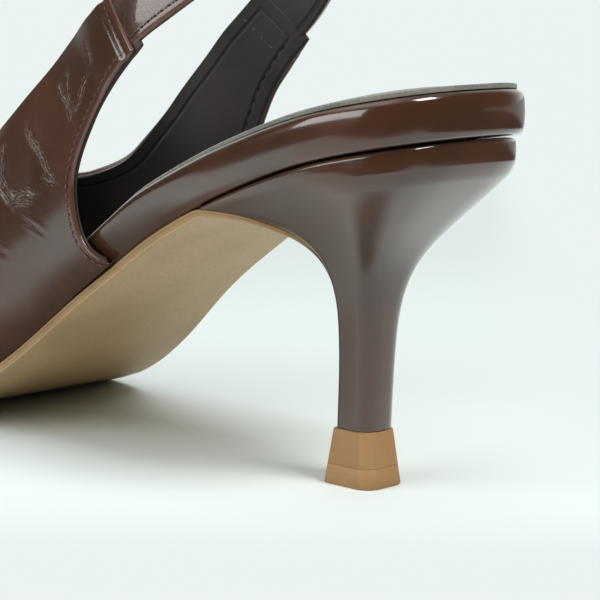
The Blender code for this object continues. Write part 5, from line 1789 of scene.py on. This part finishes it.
class PUMP_OT_stage(bpy.types.Operator):
    """Pale floor, soft studio light and the camera of the photograph"""

    bl_idname = "pump.stage"
    bl_label = "Floor, light and camera"

    def execute(self, context):
        scene = context.scene
        scene.view_settings.view_transform = "Standard"
        mesh = bpy.data.meshes.new("floor")
        corners = [(x * FLOOR_REACH, y * FLOOR_REACH, 0) for x, y in ((-1, -1), (1, -1), (1, 1), (-1, 1))]
        mesh.from_pydata(corners, [], [(0, 1, 2, 3)])
        mesh.materials.append(self.paper(tuple(scene.pump_colours.floor)))
        floor = bpy.data.objects.new("floor", mesh)
        scene.collection.objects.link(floor)
        self.room(scene)
        for lamp in LAMPS:
            self.lamp(scene, *lamp)
        self.camera(scene)
        return {"FINISHED"}

    def way_along(self, tree, place, way):
        """How far a place lies along a level direction."""
        inputs = {0: place, 1: (*way, 0.0)}
        return node(tree, "ShaderNodeVectorMath", inputs, operation="DOT_PRODUCT").outputs["Value"]

    def distance(self, tree, place):
        """How far a place lies from the origin."""
        return node(tree, "ShaderNodeVectorMath", {0: place}, operation="LENGTH").outputs["Value"]

    def paper(self, colour):
        """White paper: lit and shaded near the shoe, fading into the plain background away
        from it.  The leather sees it end a little way in front of the camera, with two pools of
        painted shadow near the shoe."""
        material, tree, shader = new_material("pale floor")
        shader.inputs["Base Color"].default_value = (*colour, 1.0)
        shader.inputs["Roughness"].default_value = 0.75
        shader.inputs["Specular IOR Level"].default_value = 0.15
        place = object_place(tree)
        place_left, place_side = (self.way_along(tree, place, way) for way in (CAMERA_LEFT, CAMERA_SIDE))
        away = ramp(tree, self.distance(tree, place), 0.25, 0.8)
        limits = (
            (place_side, 0.24, 0.42),
            (place_left, 0.50, 0.80),
            (place_left, -0.20, -0.30),
            (place_side, 0.00, 0.06),
            (place_left, -0.03, -0.08),
        )
        edges = [ramp(tree, along, near, far) for along, near, far in limits]
        right_side = times(tree, edges[2], ramp(tree, place_side, -0.7, -0.4, 0.62, 1.0))
        dark = maths(tree, "MAXIMUM", edges[0], maths(tree, "MAXIMUM", edges[1], right_side))
        plan = node(tree, "ShaderNodeCombineXYZ", {"X": place_left, "Y": place_side}).outputs[0]
        # Painted shadow: pools that darken the floor only for glossy rays, for the shoe's shadow in its
        # reflection
        for left, side, long, wide, depth in PAINTED_SHADOW_POOLS:
            inputs = {0: plan, 1: (left, side, 0.0)}
            apart = node(tree, "ShaderNodeVectorMath", inputs, operation="SUBTRACT").outputs[0]
            inputs = {0: apart, 1: (long, wide, 1.0)}
            scaled = node(tree, "ShaderNodeVectorMath", inputs, operation="DIVIDE").outputs[0]
            dark = maths(tree, "MAXIMUM", dark, ramp(tree, self.distance(tree, scaled), 0.3, 1.3, depth, 0.0))
        away = maths(tree, "MAXIMUM", away, maths(tree, "MAXIMUM", edges[3], edges[4]))
        glossy = node(tree, "ShaderNodeLightPath").outputs["Is Glossy Ray"]
        plain = node(tree, "ShaderNodeEmission", {"Color": (*BACKGROUND, 1.0)})
        night = node(tree, "ShaderNodeEmission", {"Color": (*DARK_ROOM, 1.0)})
        first = node(tree, "ShaderNodeMixShader", {0: away, 1: shader.outputs[0], 2: plain.outputs[0]})
        second = node(tree, "ShaderNodeMixShader", {1: first.outputs[0], 2: night.outputs[0]})
        tree.links.new(times(tree, dark, glossy), second.inputs[0])
        tree.links.new(second.outputs[0], tree.nodes["Material Output"].inputs["Surface"])
        return material

    def room(self, scene):
        """Pale to the camera; to the leather, a white sweep behind the shoe, a white ceiling
        and a dim room on the camera's side."""
        world = bpy.data.worlds.new("studio")
        scene.world = world
        world.use_nodes = True
        tree = world.node_tree
        back = tree.nodes["Background"]
        way = node(tree, "ShaderNodeTexCoord").outputs["Generated"]
        apart = node(tree, "ShaderNodeSeparateXYZ", {"Vector": way})
        behind = ramp(tree, self.way_along(tree, way, CAMERA_SIDE), -0.36, -0.92)
        high = ramp(tree, apart.outputs["Z"], 0.55, 0.90)
        tone = mixed(tree, behind, DARK_ROOM, BACKGROUND)
        left = ramp(tree, self.way_along(tree, way, CAMERA_LEFT), -0.2, 0.3)
        ceiling = mixed(tree, left, DIM_CEILING, BRIGHT_CEILING)
        tone = mixed(tree, high, tone, ceiling)
        seen = node(tree, "ShaderNodeLightPath").outputs["Is Camera Ray"]
        tree.links.new(mixed(tree, seen, tone, BACKGROUND), back.inputs["Color"])
        back.inputs["Strength"].default_value = 1.0

    def lamp(self, scene, name, place, target, size, power, colour):
        """A soft rectangular lamp that faces a target."""
        data = bpy.data.lights.new(name, "AREA")
        data.shape = "RECTANGLE"
        data.size, data.size_y = size
        data.energy = power
        data.color = colour
        lamp = bpy.data.objects.new(name, data)
        lamp.location = place
        way = Vector(target) - Vector(place)
        lamp.rotation_euler = way.to_track_quat("-Z", "Y").to_euler()
        scene.collection.objects.link(lamp)

    def camera(self, scene):
        """The camera of the photograph, turned by its yaw and then its pitch."""
        yaw, pitch = CAMERA_TURN
        ahead = Vector((math.cos(pitch) * math.cos(yaw), math.cos(pitch) * math.sin(yaw), math.sin(pitch)))
        right = Vector((math.sin(yaw), -math.cos(yaw), 0))
        turn = Matrix((right, right.cross(ahead), -ahead)).transposed()
        data = bpy.data.cameras.new("photo_camera")
        camera = bpy.data.objects.new("photo_camera", data)
        camera.matrix_world = turn.to_4x4()
        camera.location = CAMERA_PLACE
        data.sensor_width = 36.0
        data.lens = CAMERA_LENS
        data.clip_start = 0.01
        data.clip_end = 60.0
        scene.collection.objects.link(camera)
        scene.camera = camera


class PUMP_PT_panel(bpy.types.Panel):
    """Lists the pump's pieces, sizes and colours"""

    bl_label = "Slingback pump"
    bl_idname = "PUMP_PT_panel"
    bl_space_type = "VIEW_3D"
    bl_region_type = "UI"
    bl_category = "Pump"

    def draw(self, context):
        for group in (context.scene.pump_sizes, context.scene.pump_colours):
            for name in group.__annotations__:
                self.layout.prop(group, name)
        for operator in OPERATORS:
            self.layout.operator(operator.bl_idname)


OPERATORS = (PUMP_OT_upper, PUMP_OT_strap, PUMP_OT_footbed, PUMP_OT_heel, PUMP_OT_outsole, PUMP_OT_stage)
CLASSES = (PumpColours, PumpSizes, *OPERATORS, PUMP_PT_panel)


def register():
    """Makes Blender know the classes and gives each scene its colours and sizes."""
    for cls in CLASSES:
        bpy.utils.register_class(cls)
    bpy.types.Scene.pump_colours = bpy.props.PointerProperty(type=PumpColours)
    bpy.types.Scene.pump_sizes = bpy.props.PointerProperty(type=PumpSizes)


def unregister():
    """Undoes what register did."""
    del bpy.types.Scene.pump_sizes
    del bpy.types.Scene.pump_colours
    for cls in reversed(CLASSES):
        bpy.utils.unregister_class(cls)


def main():
    """Builds every piece in order."""
    register()
    bpy.ops.pump.upper()
    bpy.ops.pump.strap()
    bpy.ops.pump.footbed()
    bpy.ops.pump.heel()
    bpy.ops.pump.outsole()
    bpy.ops.pump.stage()
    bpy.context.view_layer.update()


if __name__ == "__main__":
    main()
